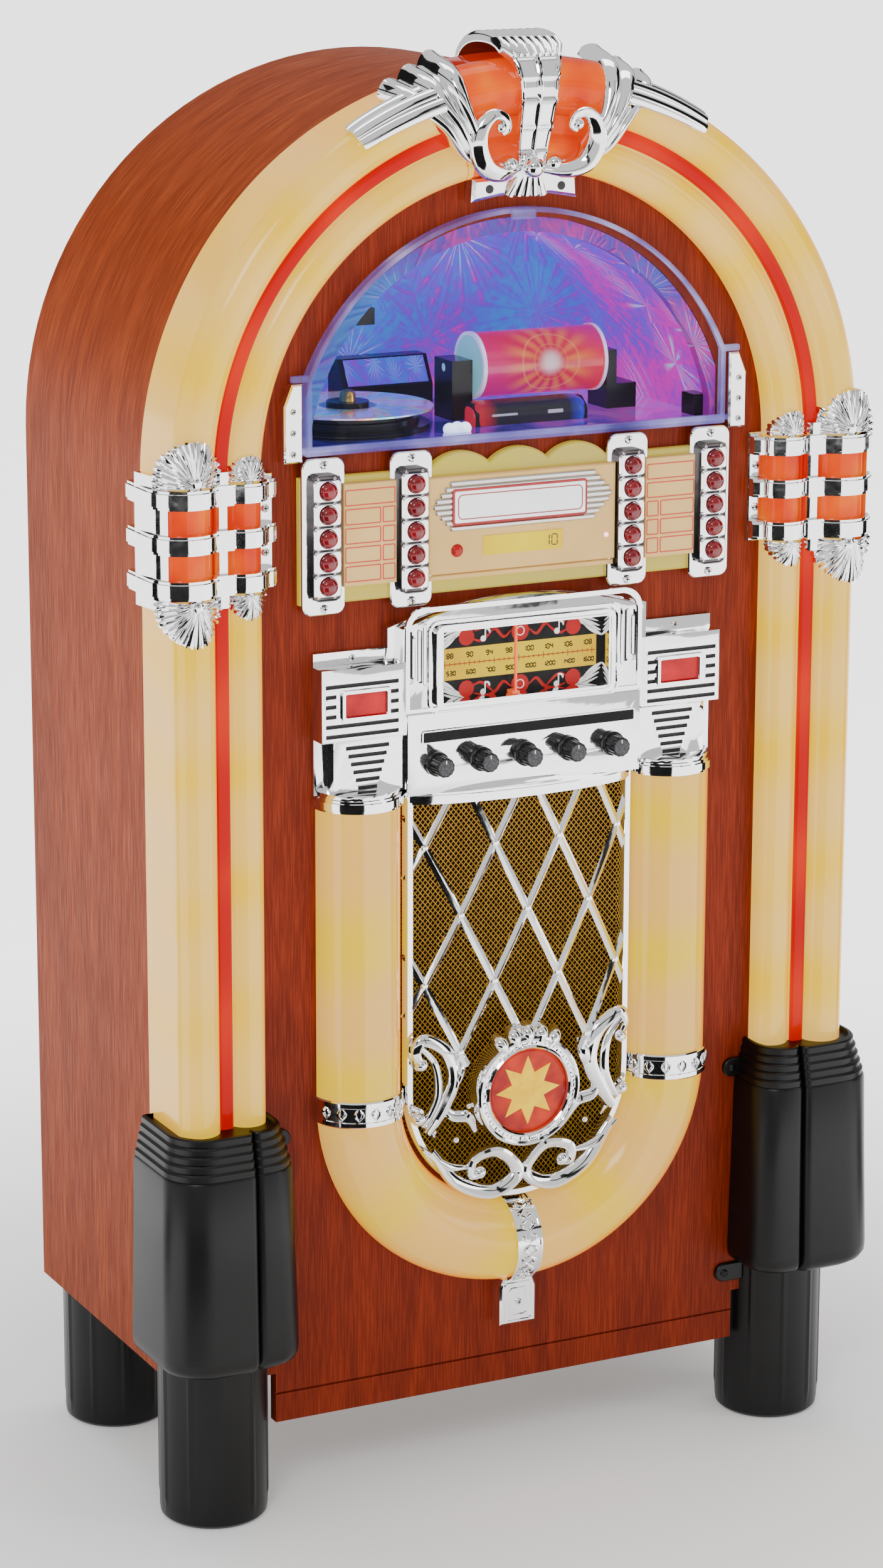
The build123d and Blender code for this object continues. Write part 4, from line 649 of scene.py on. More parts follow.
def wing(side):
    """A fluted wing: a sheet that starts narrow at the foot, crosses the lens and sweeps out to the
    rear edge, with three rounded ridges that touch each other."""
    inner = curve([(11, -16, 950), (31, -23, 956), (46.5, -29.5, 985.5), (54, -21, 1015), (55, 13, 1026)], 60)
    outer = curve([(19, -18, 950.5), (53, -25, 958), (73, -29, 979), (95, -15, 995), (103, 6, 1000)], 60)
    share = np.linspace(0, 1, 43)[None, :, None]
    base = inner[:, None] * (1 - share) + outer[:, None] * share
    along = np.linspace(0, 1, 60)[:, None]
    ridge = np.abs(np.sin(np.linspace(0, 3 * np.pi, 43)))[None] ** 0.75
    lift = 1.0 + (2.0 + 4.6 * along ** 0.8) * ridge
    return sheet(base * (side, 1, 1), lift, 5.0)


def arm(side):
    """An arm that hugs the column from the wing down the arch: a part of a ring about the column's
    round front, with three long flutes, narrowing to a blunt end."""
    turns = np.radians(np.linspace(74.0, 59.5, 40))[:, None]
    share = np.linspace(0, 1, 37)[None]
    narrow = np.clip((np.degrees(turns) - 59.5) / 10, 0, 1) ** 0.5
    lean = np.radians((4 + 10 * (1 - narrow)) * (1 - share) + (104 - 10 * (1 - narrow)) * share)
    reach = 250.25 + 17.2 * np.sin(lean)
    depth = -13 - 17.2 * np.cos(lean) + 0 * turns
    base = np.stack([side * reach * np.cos(turns), depth, arch_height + reach * np.sin(turns)], -1)
    flutes = np.abs(np.sin(share * 3 * np.pi)) ** 0.6
    return sheet(base, 0.8 + 2.8 * flutes * (0.6 + 0.4 * narrow), 2.0)


crown = [strap(), ball(0, -24, 951, 7.6), ball(-17, -21, 953, 6.0), ball(17, -21, 953, 6.0)]
foot_line = [(-40.5, 927.3), (-20, 930.8), (0, 932.2), (20, 930.8), (40.5, 927.3), (39.5, 943), (28, 943.5),
             (14, 949), (0, 950), (-14, 949), (-28, 943.5), (-39.5, 943)]
crown.append(plate(foot_line, ((0, 0), (0, -10.0), (2.2, -12.4))))
for fold in range(-2, 3):
    fold_line = [(fold * 2.4, -17, 952), (fold * 4.2, -15.5, 942), (fold * 6.4, -12.0, 931.4)]
    crown.append(bar(fold_line, (2.6, 3.2, 3.6), 16))
for side in (-1, 1):
    crown += [wing(side), arm(side)]
    spiral = [(side * x, y, z) for x, y, z in (
        (10, -19, 949), (25, -25.5, 948), (38, -28.5, 953), (45, -30.5, 966), (43.5, -32, 979),
        (36, -33, 987.5), (27.5, -33, 986), (24.5, -32, 979), (28.5, -31.5, 975.5))]
    crown.append(bar(spiral, (4.2, 6.2, 7.4, 7.4, 5.8, 4.8, 4.0, 3.4, 2.6), 70, 18, 3, 0.24))
    crown.append(ball(side * 29.4, -33, 979.5, 3.8))
    # A dark disc on each side of the foot, in painted shade.
    crown.append(disc(side * 27.5, 936, 3.1, ((0, -12.0), (0.1, -12.6)), 1, 18))
build("crown", crown, [chrome, recess_shade], hides=["crown_casting"], sharp=38)

# Window chamber. A moulded recess of the window's shape behind the front board, lined with a
# diffracting foil: cut facets burst from many centres and flash blue, cyan, pink and violet. The
# foil's glow and its pale flashes are painted light.
sill = 764


def foil(name, strength, scale, roughness=0.35):
    """Foil: each cell's rays run from its centre, and every ray takes a hue from its own turn; its glow
    and the pale flashes near the centres are painted light.
    """
    material, shader, place = finish(
        name, Roughness=roughness, Metallic=0.3, Emission_Strength=strength)
    x, y, z = place.axes()
    flat = place.node("CombineXYZ", {0: x, 1: z - y * 0.9, 2: y})
    cells = {"Vector": flat, "Scale": scale, "Randomness": 0.75}
    centre, cell = [place.node("TexVoronoi", cells, output=output) for output in (0, 2)]
    local = place.node("VectorMath", {0: flat, 1: cell}, operation="SUBTRACT")
    beside, above, behind = local.axes()
    turn = above.math("ARCTAN2", beside)
    shimmer = place.noise(160.0, 3.0)
    rays = ((turn * 17 + shimmer * 4).math("SINE") * 0.5 + 0.5) * ((turn * 41).math("SINE") * 0.5 + 0.6)
    wide = place.noise(7.5)
    hue = wide * 0.9 + shimmer * 0.35 + x * 1.1 + (z - 0.85) * 0.6 - 0.12 + rays * 0.10
    colour = hue.ramp((0.25, (0.02, 0.07, 0.72)), (0.40, (0.03, 0.24, 0.85)), (0.50, (0.08, 0.10, 0.85)),
                      (0.60, (0.22, 0.03, 0.75)), (0.72, (0.75, 0.01, 0.50)), (0.90, (0.28, 0.02, 0.66)))
    # Painted glints: pale flashes along the rays near each cell's centre, over a glow of painted light.
    fade = 1 - centre.within(0.0, 0.75)
    painted_glints = (rays * fade).within(0.12, 0.85) * 0.75
    shine_through(shader, painted_glints.blend(colour, (0.45, 0.72, 1.0, 1)), fade * 0.2 + 0.25)
    rays.bump(0.4, 0.001).to(shader, "Normal")
    return material


dress(["window_chamber"], foil("foil_lining", 0.85, 15.0))

# The chamber's floor carries the same foil under a clear sheet: a violet mirror with pink islands.
# Its glow is painted light.
floor_foil, floor_shader, place = finish(
    "foil_floor", Roughness=0.12, Metallic=0.4, Coat_Weight=0.6, Coat_Roughness=0.04, Emission_Strength=0.55)
x = place.axes()[0]
patch = place.noise(24.0, 4.0, Distortion=1.2)
violet = (patch * 0.8 + x * 1.2 + 0.12).ramp(
    (0.30, (0.01, 0.01, 0.10)), (0.46, (0.04, 0.02, 0.40)), (0.58, (0.22, 0.04, 0.70)),
    (0.72, (0.65, 0.08, 0.60)), (0.85, (0.35, 0.15, 0.80)))
shine_through(floor_shader, violet, patch * 0.3 + 0.2)
build("chamber_floor", [plate(box(-159, 159, sill, sill + 0.8), ((0, 9.5), (0, 163)))], [floor_foil])

# The foil is turned round a narrow rim just behind the front board.
rim_foil = foil("foil_rim", 0.28, 15.0)


def dome_outline(radius, half_width, bottom):
    """The window's outline: level sill, short upright sides, round top about the window's middle."""
    start = np.degrees(np.arccos(half_width / radius))
    return np.concatenate([[(-half_width, bottom), (half_width, bottom)],
                           arc(0, 746, radius, start, 180 - start, 48)])


def rim(outer, inner, levels, tint=0):
    """A frame between two outlines with as many corners: front, back and both walls."""
    loops = [(outer, levels[0]), (outer, levels[1]), (inner, levels[1]), (inner, levels[0])]
    return tube([at_depth(loop, depth) for loop, depth in loops], tint, closed=True)


turned_edge = rim(dome_outline(168.6, 159.6, sill + 0.4), dome_outline(158.5, 155, sill + 1.2), (1.0, 10))
build("chamber_rim", [turned_edge], [rim_foil])

# Fittings on the chamber's floor: drum post and bracket, the port module, the black block with a
# foil-faced slope, a wall shelf and a small lamp. Plain glossy black, with a fine grain.
gloss_black = black_moulding("gloss_black", 0.006, 0.016, 0.14, 0.1)
dress(["chamber_fittings", "disc_deck"], gloss_black)
slope = [[(-62, y - 0.9, z + 0.3), (1.5, y - 0.9, z + 0.3), (1.5, y, z), (-62, y, z)]
         for y, z in ((139.4, sill + 17.5), (149.2, sill + 35))]
build("slope_foil", [tube(slope)], [foil("foil_slope", 0.8, 60.0, 0.2)])

# Port module: a low black housing with rounded shoulders, a slot for a card and one for a stick,
# lit red at the left end and blue at the right end.
port_glow, port_shader, place = finish(
    "port_ends", Base_Color=(0.015, 0.015, 0.02, 1), Roughness=0.25, Specular_IOR_Level=0.3,
    Emission_Strength=0.9)
(place.axes()[0] * 12.0 + 0.1).ramp(
    (0.02, (0.55, 0.01, 0.02)), (0.16, (0.012, 0.010, 0.014)), (0.84, (0.010, 0.010, 0.016)),
    (0.98, (0.01, 0.03, 0.75))).to(port_shader, "Emission Color")
port_side = curve([(35.6, sill + 1), (35.4, sill + 9), (39, sill + 14.6), (46, sill + 16.6),
                   (53, sill + 16.4), (54.5, sill + 12), (54.6, sill + 1)], 30)
ends = np.linspace(-13, 77, 24)
squeeze = 1 - 0.25 * np.clip((np.abs(ends - 32) - 38) / 7, 0, 1) ** 2
foot_line = np.array([45, sill])
rings = [np.column_stack([np.full(30, end), foot_line + (port_side - foot_line) * share])
         for end, share in zip(ends, squeeze)]
build("port_module", [tube(rings)], [port_glow])
silver_ink = mottled("silver_print", 200.0, ((0.55, 0.58, 0.62), (0.75, 0.78, 0.82)), Roughness=0.5)
slots = [slab(x, sill + 8, width, height, 0.5, 35.6, 34.9, count=3)
         for x, width, height in ((10, 20, 1.6), (50, 12, 2.6))]
build("port_slots", slots, [silver_ink])

# Lamp: a small clear cap that glows blue-white beside the deck.
lamp_glow = mottled("lamp_cap", 90.0, glow=((0.30, 0.45, 1.0), (0.75, 0.85, 1.0)), Roughness=0.2,
                    Emission_Strength=2.0)
build("lamp_cap", [ball(x, 24, sill + 3, radius) for x, radius in ((-33, 5.2), (-27, 4.6), (-39, 4.6))],
      [lamp_glow])

# Turntable: black platter with a gold spindle and clear clamp; the disc's silver film splits light
# into fans of colour around its hole. The fans are painted into the disc's colour as painted
# reflection, and its glow is painted light.
dress(["turntable"], gloss_black)
disc_film, disc_shader, place = finish(
    "disc_film", Metallic=0.9, Roughness=0.20, Coat_Weight=0.6, Coat_Roughness=0.03, Emission_Strength=0.30)
x, y, z = place.axes()
dx = x + 0.093
dy = y + 0.030
turn = dy.math("ARCTAN2", dx)
radius = (dx * dx + dy * dy) ** 0.5
fans = (turn * 4 + radius * 60).math("SINE") * 0.5 + 0.5
polar = place.node("CombineXYZ", {0: turn * 3.0, 1: radius * 20})
streak = polar.noise(2.0, 4.0)
spread = (fans * 0.45 + streak * 0.75).ramp(
    (0.30, (0.62, 0.66, 0.80)), (0.42, (0.25, 0.35, 0.95)), (0.50, (0.20, 0.80, 0.75)),
    (0.58, (0.85, 0.80, 0.30)), (0.66, (0.95, 0.30, 0.35)), (0.78, (0.70, 0.55, 0.90)))
hub = radius.within(0.0195, 0.021)
hub.blend((0.10, 0.10, 0.14, 1), spread).to(disc_shader, "Base Color")
hub.blend((0.02, 0.02, 0.05, 1), spread).to(disc_shader, "Emission Color")
dress(["compact_disc"], disc_film)
brass = mottled("brass_spindle", 120.0, ((0.55, 0.33, 0.08), (0.83, 0.60, 0.22)), detail=3.0,
                rough=(0.2, 0.12), Metallic=1.0)
spindle_x, spindle_depth = -93, 75


def turned(profile, count):
    """A turned piece about the spindle: the profile's radius at each height."""
    spin = np.linspace(0, 2 * np.pi, count, endpoint=False)
    return tube([np.stack([spindle_x + r * np.cos(spin), spindle_depth + r * np.sin(spin), h + 0 * spin], -1)
                 for r, h in profile])


cap_profile = ((9.2, 780.6), (9.2, 782.4), (8.2, 783), (6.0, 783.2), (5.4, 789), (4.2, 790.6), (2, 791.2))
build("spindle_cap", [turned(cap_profile, 40)], [brass], body="turntable")
platter = turned(((46.4, 776.0), (46.4, 778.6), (45.0, 778.9)), 64)
build("platter_edge", [platter], [gloss_black], body="turntable")
skirt = [(57.3 - 0.5 * (step % 2) - 7.2 * (step > 4), sill + 0.4 + step * 1.05) for step in range(9)]
build("deck_skirt", [turned(skirt, 80)], [gloss_black])

# Title drum: a card sleeve printed pink, magenta and red with warm rays round a bright centre and a
# few thin rings, between two white rims; the left end is a pale cyan lit disc.
sleeve, sleeve_shader, place = finish(
    "drum_sleeve", Roughness=0.25, Coat_Weight=0.4, Coat_Roughness=0.08, Emission_Strength=0.62)
x, y, z = place.axes()
around = (z - 0.801).math("ARCTAN2", 0.0 - (y + 0.025))
height = around * 0.023
across = x - 0.050
spot = ((across - 0.008) ** 2.0 + (height - 0.002) ** 2.0) ** 0.5
spin = (height - 0.002).math("ARCTAN2", across - 0.008)
rays = ((spin * 14.0).math("SINE") * 0.5 + 0.5) * spot.within(0.006, 0.018) * (1 - spot.within(0.020, 0.042))
base = (x * 6 + height * 9).ramp((0.0, (0.62, 0.006, 0.20)), (0.35, (0.72, 0.004, 0.05)),
                                 (0.6, (0.78, 0.02, 0.05)), (0.85, (0.55, 0.010, 0.22)))
rings = ((spot * 620).math("SINE") * 0.5 + 0.5).within(0.86, 0.97) * spot.within(0.012, 0.016) \
    * (1 - spot.within(0.020, 0.024))
print_red = (rays * 0.6).blend(base, (1.0, 0.30, 0.04, 1))
print_red = (1 - spot.within(0.002, 0.012)).blend(print_red, (1.0, 0.70, 0.75, 1))
print_red = (rings * 0.8).blend(print_red, (1.0, 0.60, 0.15, 1))
glow = (1 - x.within(0.0046, 0.0050)).blend(print_red, (0.25, 0.62, 0.75, 1))
shine_through(sleeve_shader, glow, spot.within(0.0, 0.05) * 0.2 + 0.35)
dress(["title_drum"], sleeve)
rim_white = mottled("rim_white", 80.0, ((0.70, 0.62, 0.85), (0.92, 0.88, 1.0)), Roughness=0.3,
                    Emission_Color=(0.7, 0.6, 0.9, 1), Emission_Strength=0.35)
drum_depth, drum_height = 80, 801
spin = np.linspace(0, 2 * np.pi, 64, endpoint=False)
rims = []
for low, high in ((4.2, 7.0), (100.8, 103.4)):
    corners = ((low, 21.5), (low, 24.0), (high, 24.0), (high, 21.5))
    rims.append(tube([np.stack([end + 0 * spin, drum_depth + r * np.cos(spin),
                                drum_height + r * np.sin(spin)], -1) for end, r in corners], closed=True))
build("drum_rims", rims, [rim_white], body="title_drum")

# Window door. A clear moulded sheet with a turned-back rim; light from the chamber runs in the
# plastic and makes its edges shine violet and white. Ears and a latch tab are moulded on.
clear, clear_shader, place = finish(
    "clear_sheet", Base_Color=(0.05, 0.05, 0.08, 1), Roughness=0.03, IOR=1.49, Specular_IOR_Level=0.4)
streaks = place.noise(6.0, Distortion=0.5)
(streaks * 0.04 + 0.01).to(clear_shader, "Alpha")
edge_light, edge_shader, place = finish("edge_light", Roughness=0.05, IOR=1.49, Emission_Strength=0.50)
band = place.noise(18.0, 3.0)
band.ramp((0.30, (0.03, 0.02, 0.35)), (0.50, (0.16, 0.10, 0.70)), (0.66, (0.60, 0.55, 1.0))).to(
    edge_shader, "Emission Color")
band.ramp((0.3, (0.05, 0.04, 0.18)), (0.7, (0.25, 0.24, 0.45))).to(edge_shader, "Base Color")
(band * 0.45 + 0.12).to(edge_shader, "Alpha")
outer = dome_outline(176, 162.2, 762.4)
inner = dome_outline(172.6, 158.8, 768.0)
middle = dome_outline(174.6, 160.6, 764.5)
pane = plate(dome_outline(172.8, 159, 767.6), ((0, -5.9), (0, -8.3)))
build("door_pane", [pane], [clear], body="door", hides=["window_door"])
frame_parts = [rim(outer, middle, (-0.5, -8.6)), rim(middle, inner, (-7.6, -8.7))]
spin = np.linspace(0, 2 * np.pi, 24, endpoint=False)
hinge = [np.stack([end + 0 * spin, -4.5 + 2 * np.cos(spin), 765.4 + 2 * np.sin(spin)], -1)
         for end in (-170, 170)]
frame_parts += [tube(hinge), plate(box(-162, 162, 761.6, 767.2), ((0, -0.6), (0, -7.2), (1.0, -8.6)))]
frame_parts += mirrored([plate(rounded(167.2, 815, 13, 4.6, 1.2, 4), ((0, -5.6), (0, -8.2), (0.6, -8.8)))])
frame_parts.append(plate(rounded(0, 917.6, 18, 7, 1.5, 4), ((0, -8.4), (0, -11.2), (0.6, -11.8))))
build("door_frame", frame_parts, [edge_light], body="door", sharp=40)

# Hinge brackets. Chrome-plated ears beside the window; their sloping outer face is mirror bright
# and takes three screws.
brackets = []
for side in (-1, 1):
    outline = np.array(
        [(165.6, 758.2), (179.4, 758.2), (179.4, 797), (173.4, 811.8), (165.6, 811.8)]) * (side, 1)
    brackets.append(plate(outline, ((0, 0), (0, -7.6), (1.2, -8.9))))
    for height in (764.5, 779, 793.5):
        brackets += screw(side * 173.0, height, -8.8, 2.3)
build("hinge_plates", brackets, [chrome, recess_shade], hides=["hinge_brackets"])

# Key panel. A milky cream moulding with three round lobes along its top, lit from behind: yellow
# near its lamps and paler cream between. A raised middle carries the plaque and the display.
panel_glow = lit_plastic(
    "key_panel", (0.60, 0.40, 0.04), (0.80, 0.62, 0.10), (0.85, 0.68, 0.05), 0.45, 0.075)
beige = mottled("beige_plate", 18.0, ((0.66, 0.40, 0.13), (0.74, 0.48, 0.18)), detail=3.0, Roughness=0.4,
                Specular_IOR_Level=0.15)
lobe_radius = 32.6
lobes = [arc(x, 757 - lobe_radius, lobe_radius, start, stop, 24)
         for x, start, stop in ((45, 42.5, 133.6), (0, 46.4, 133.6), (-45, 46.4, 137.5))]
outline = np.concatenate([[(-167, 659), (167, 659), (167, 747)], *lobes, [(-167, 747)]])
panel = [plate(outline, ((0, 0), (0, -4.8), (1.2, -6)))]
panel.append(plate(box(-73.4, 73.4, 673, 741), ((0, -5), (0, -11.0), (1.0, -12)), 1))
panel.append(plate(box(-73.4, 73.4, 668.4, 672.2), ((0, -5), (0, -9.0), (0.8, -9.8)), 1))
labels = mirrored([plate(box(97, 137, 671, 742), ((0, -5), (0, -11.4), (0.6, -12)), 1)])
build("key_panel", panel + labels, [panel_glow, beige], hides=["title_panel"])

# Printed frames. Thin red lines box the bare label fields and edge the raised middle.
red_print = mottled("red_print", 300.0, ((0.45, 0.012, 0.008), (0.60, 0.03, 0.012)), Roughness=0.4,
                    Emission_Color=(0.5, 0.02, 0.01, 1), Emission_Strength=0.18)


def line_frame(x, z, width):
    """The printed outline of a label field, as a thin raised frame."""
    return rim(rounded(x, z, width, 11.2, 0.8, 3), rounded(x, z, width - 1.5, 9.7, 0.5, 3), (-12.0, -12.2))


frames = []
for side, widths in ((-1, (1, 2, 2, 2, 2)), (1, (1, 1, 3, 3, 3))):
    for row, kind in enumerate(widths):
        height = 732.2 - row * 13.2
        middle = side * 117.2
        if kind == 1:
            frames.append(line_frame(middle, height, 38.0))
        else:
            outward = 1 if kind == 2 else -1
            frames.append(line_frame(middle + outward * 14.2, height, 9.6))
            frames.append(line_frame(middle - outward * 5.4, height, 27.0))
build("label_frames", frames, [red_print])

# Plaque. A ribbed silver plate with pointed ends behind a bare white plate edged in red.
silver = plating("ribbed_silver", (0.62, 0.60, 0.58), 0.22, 0.10)
pale = mottled("bare_plate", 40.0, ((0.82, 0.84, 0.86), (0.95, 0.96, 0.97)), Roughness=0.35,
               Emission_Color=(0.9, 0.92, 0.95, 1), Emission_Strength=0.25)
dark_red = mottled("plaque_border", 90.0, ((0.28, 0.004, 0.006), (0.42, 0.008, 0.010)), Roughness=0.3)
plaque = []
for row in range(9):
    height = 704.6 + row * 3.9
    reach = 69.5 - max(0.0, abs(height - 720.3) - 2) * 0.95
    plaque.append(plate(rounded(0, height, 2 * reach, 3.4, 0.9, 3), ((0, -11.9), (0, -12.9), (0.8, -13.6))))
plaque.append(plate(rounded(-3, 719.5, 105, 25.5, 2.4, 5), ((0, -12), (0, -14.0), (0.3, -14.3)), 1))
plaque.append(plate(rounded(-3, 719.5, 101.6, 22.1, 1.2, 5), ((0, -13.5), (0, -14.4), (0.3, -14.6)), 2))
plaque.append(rim(rounded(-3, 719.5, 97, 17.6, 3.5, 6), rounded(-3, 719.5, 95.6, 16.2, 2.9, 6),
                  (-14.4, -14.75), 1))
build("plaque", plaque, [silver, dark_red, pale], sharp=25)

# Display. A yellow window with two dim digits behind it; beside it a red sensor dome and a lamp.
display_yellow, display_shader, place = finish(
    "display_yellow", Roughness=0.25, Specular_IOR_Level=0.1, Emission_Strength=0.95)
spread = place.noise(30.0)
yellow = (place.axes()[0].math("ABSOLUTE") * 12 + spread * 0.5).ramp(
    (0.2, (0.95, 0.72, 0.01)), (0.55, (0.90, 0.62, 0.0)), (0.9, (0.75, 0.45, 0.0)))
shine_through(display_shader, yellow, spread * 0.3 + 0.2)
dress(["display_window"], display_yellow)
digit_ink = mottled("digit_ink", 60.0, ((0.03, 0.025, 0.005), (0.07, 0.06, 0.01)), Roughness=0.5)


def digit(x, z, lit, width=4.2, height=7.4, face=-12.75, tint=0):
    """A seven-bar number: the bars named by their letter are drawn as thin plates."""
    half, rise = width / 2, height / 2
    places = {"a": (0, rise, 1), "g": (0, 0, 1), "d": (0, -rise, 1), "b": (half, rise / 2, 0),
              "c": (half, -rise / 2, 0), "f": (-half, rise / 2, 0), "e": (-half, -rise / 2, 0)}
    return [slab(x + dx, z + dz, width * 0.86 if flat else 0.8, 0.8 if flat else rise * 0.86, 0.3,
                 face, face - 0.08, tint, 3) for dx, dz, flat in (places[bar] for bar in lit)]


build("display_digits", digit(18.4, 690.8, "bc") + digit(24.6, 690.8, "abcdef"), [digit_ink])
sensor = mottled("sensor_red", 80.0, ((0.25, 0.001, 0.002), (0.42, 0.003, 0.003)), Roughness=0.15,
                 Specular_IOR_Level=0.35)
build("sensor_dome", [dome(-51, 689, 4.6, -11.9, 2.4)], [sensor])
pink_lamp = mottled("pink_lamp", 200.0, glow=((1.0, 0.10, 0.25), (1.0, 0.35, 0.45)), Roughness=0.2,
                    Emission_Strength=3.0)
build("pink_lamp_dot", [dome(66, 690.5, 1.8, -11.9, 1.4)], [pink_lamp])

# Key housings. Four chrome-plated strips; round-ended flanges above and below take a screw, each of
# the five cells is a bevelled square, and two small screws sit between cells. The strips' sides, the
# bars between the cells and the screw slots are a dimmed chrome of painted shade.
key_pitch = 16.4
key_rows = [739 - row * key_pitch for row in range(5)]
key_columns = (-150.6, -84.4, 84.4, 150.6)


def cell(x, z):
    """A square rim with a bevelled top that leads into the key's round bore."""
    loops = [(rounded(x, z, 20.6, 15.6, 2.4, 8), -13.0), (rounded(x, z, 20.6, 15.6, 2.4, 8), -15.0),
             (rounded(x, z, 18.2, 14.2, 2.0, 8), -16.4), (arc(x, z, 6.9, 0, 348.75, 32), -16.5),
             (arc(x, z, 6.35, 0, 348.75, 32), -16.1), (arc(x, z, 6.35, 0, 348.75, 32), -9.2)]
    return tube([at_depth(loop, depth) for loop, depth in loops], closed=True)


housings = []
middle = (key_rows[0] + key_rows[-1]) / 2
tall = key_rows[0] - key_rows[-1]
for column in key_columns:
    housings.append(plate(rounded(column, middle, 32, tall + 42.8, 7, 8), ((0, -6), (0, -8.2), (0.8, -9))))
    housings.append(rim(rounded(column, middle, 21, tall + 21.6, 5, 6),
                        rounded(column, middle, 19.4, tall + 20, 4.2, 6), (-8.8, -14.2), 1))
    housings += [cell(column, height) for height in key_rows]
    for step in range(6):
        height = key_rows[0] + 8.2 - step * key_pitch
        housings.append(slab(column, height, 20, 2.6, 0.4, -12.0, -13.8, 1, 3))
        housings += screw(column - 6.2, height, -13.6, 1.4) + screw(column + 6.2, height, -13.6, 1.4)
    for height in (key_rows[0] + 17, key_rows[-1] - 17):
        housings += screw(column, height, -8.9, 3.1)
# Painted shade: a dark chrome for the strips' sides, the bars between cells and the screw slots.
shaded_chrome = mottled("housing_painted_shade", 60.0, ((0.05, 0.045, 0.05), (0.12, 0.10, 0.10)), Metallic=1.0,
                    Roughness=0.25)
build("key_housings", housings, [chrome, shaded_chrome], hides=["button_housings"], sharp=30)

# Keys. Twenty domed dark-red buttons that press in; their domes shine like lacquer.
key_red = mottled("key_lacquer", 70.0, ((0.11, 0.001, 0.004), (0.22, 0.003, 0.008)), Roughness=0.14,
                  Coat_Weight=0.35, Coat_Roughness=0.03)
key_levels = ((0, -12.2), (0, -18.8), (0.5, -19.8), (1.4, -20.6), (2.8, -21.3), (4.4, -21.7))
for letter, column in zip("abcd", key_columns):
    for row, height in enumerate(key_rows):
        name = f"button_{letter}{row + 1}"
        build(f"key_{letter}{row + 1}", [disc(column, height, 6.0, key_levels, 0, 32)], [key_red], body=name,
              hides=[name], sharp=50)

# Radio front. One chrome-plated moulding: an arched frame round the dial, three upright flutes each
# side, boxes for two rockers with slots above and below, and a plate with the five knobs.


def softened(name, copied, width, material):
    """A copy of a carried-over piece with its double points merged and its edges rounded."""
    piece = nodes[copied].copy()
    piece.data = nodes[copied].data.copy()
    piece.name = piece.data.name = name
    shape = bmesh.new()
    shape.from_mesh(piece.data)
    bmesh.ops.remove_doubles(shape, verts=shape.verts, dist=1e-6)
    bmesh.ops.dissolve_limit(shape, angle_limit=np.radians(1), verts=shape.verts, edges=shape.edges)
    shape.to_mesh(piece.data)
    shape.free()
    piece.data.materials.clear()
    piece.data.materials.append(material)
    piece.data.shade_smooth()
    bpy.context.scene.collection.objects.link(piece)
    edge = piece.modifiers.new("edges", "BEVEL")
    edge.width = width / 1000
    edge.segments = 2
    edge.limit_method = "ANGLE"
    edge.angle_limit = np.radians(38)
    edge.harden_normals = True
    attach(piece, "cabinet")
    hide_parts(copied)


softened("radio_front", "tuner_fascia", 0.5, chrome)


def arched(half_width, bottom, shoulder, peak):
    """Outline with a level foot, upright sides, round shoulders and a slightly bowed top."""
    radius = peak - shoulder
    return np.concatenate([
        [(-half_width, bottom), (half_width, bottom)],
        arc(half_width - radius, shoulder, radius, 0, 84, 14),
        arc(-half_width + radius, shoulder, radius, 96, 180, 14)])


dial_height = 609
lips = [rim(arched(92.8, 578.5, 637.6, 652.2), arched(89.6, 581.0, 635, 648.6), (-15, -17.4))]
for outer, inner, front in (((140.5, 59.5, 6.4), (134, 54, 4.5), -20.4),
                            ((150, 66, 9), (146.6, 62.6, 7.4), -17.6)):
    lips.append(rim(rounded(0, dial_height, *outer, 8), rounded(0, dial_height, *inner, 8), (-15, front)))
for side in (-1, 1):
    for step, (low, high) in enumerate(((597, 641), (600, 637), (603, 632))):
        x = side * (77.6 + step * 4.3)
        middle = (low + high) / 2
        # A wider dark plate behind each flute: painted shade in the grooves beside it.
        lips.append(slab(x, middle, 4.1, high - low + 1.6, 1.6, -14, -15.6, 1))
        lips.append(plate(rounded(x, middle, 2.3, high - low, 1.1, 5), ((0, -15), (0, -16.8), (0.7, -17.6))))
    lips.append(rim(rounded(side * 123.5, 589, 36.4, 21.2, 2.6), rounded(side * 123.5, 589, 31.8, 16.6, 1.2),
                    (-16.5, -19.4)))
for side in (-1, 1):
    lips += screw(side * 127.2, 619, -3.0)
build("radio_lips", lips, [chrome, recess_shade], sharp=30)

# Slots. Louvres run across the boxes above and below the rockers, tapering with the stacks; they
# are thin plates of painted shade.
louvres = []
box_middle = 125.7
stack_middle = 120.3
for side in (-1, 1):
    for row in range(6):
        beside_rocker = 0 < row < 4
        for shift, width in ((-23.7, 8), (23.7, 8)) if beside_rocker else ((0, 55.4),):
            louvres.append(slab(side * box_middle + shift, 603.0 - row * 7, width, 2.8, 0.6,
                                -14.2, -14.9, count=3))
        louvres.append(slab(side * stack_middle, 557.9 - row * 5.8, 2 * (16.5 - 1.85 * row), 2.8, 0.6,
                            -11.0, -11.6, count=3))
build("louvres", louvres, [recess_shade])

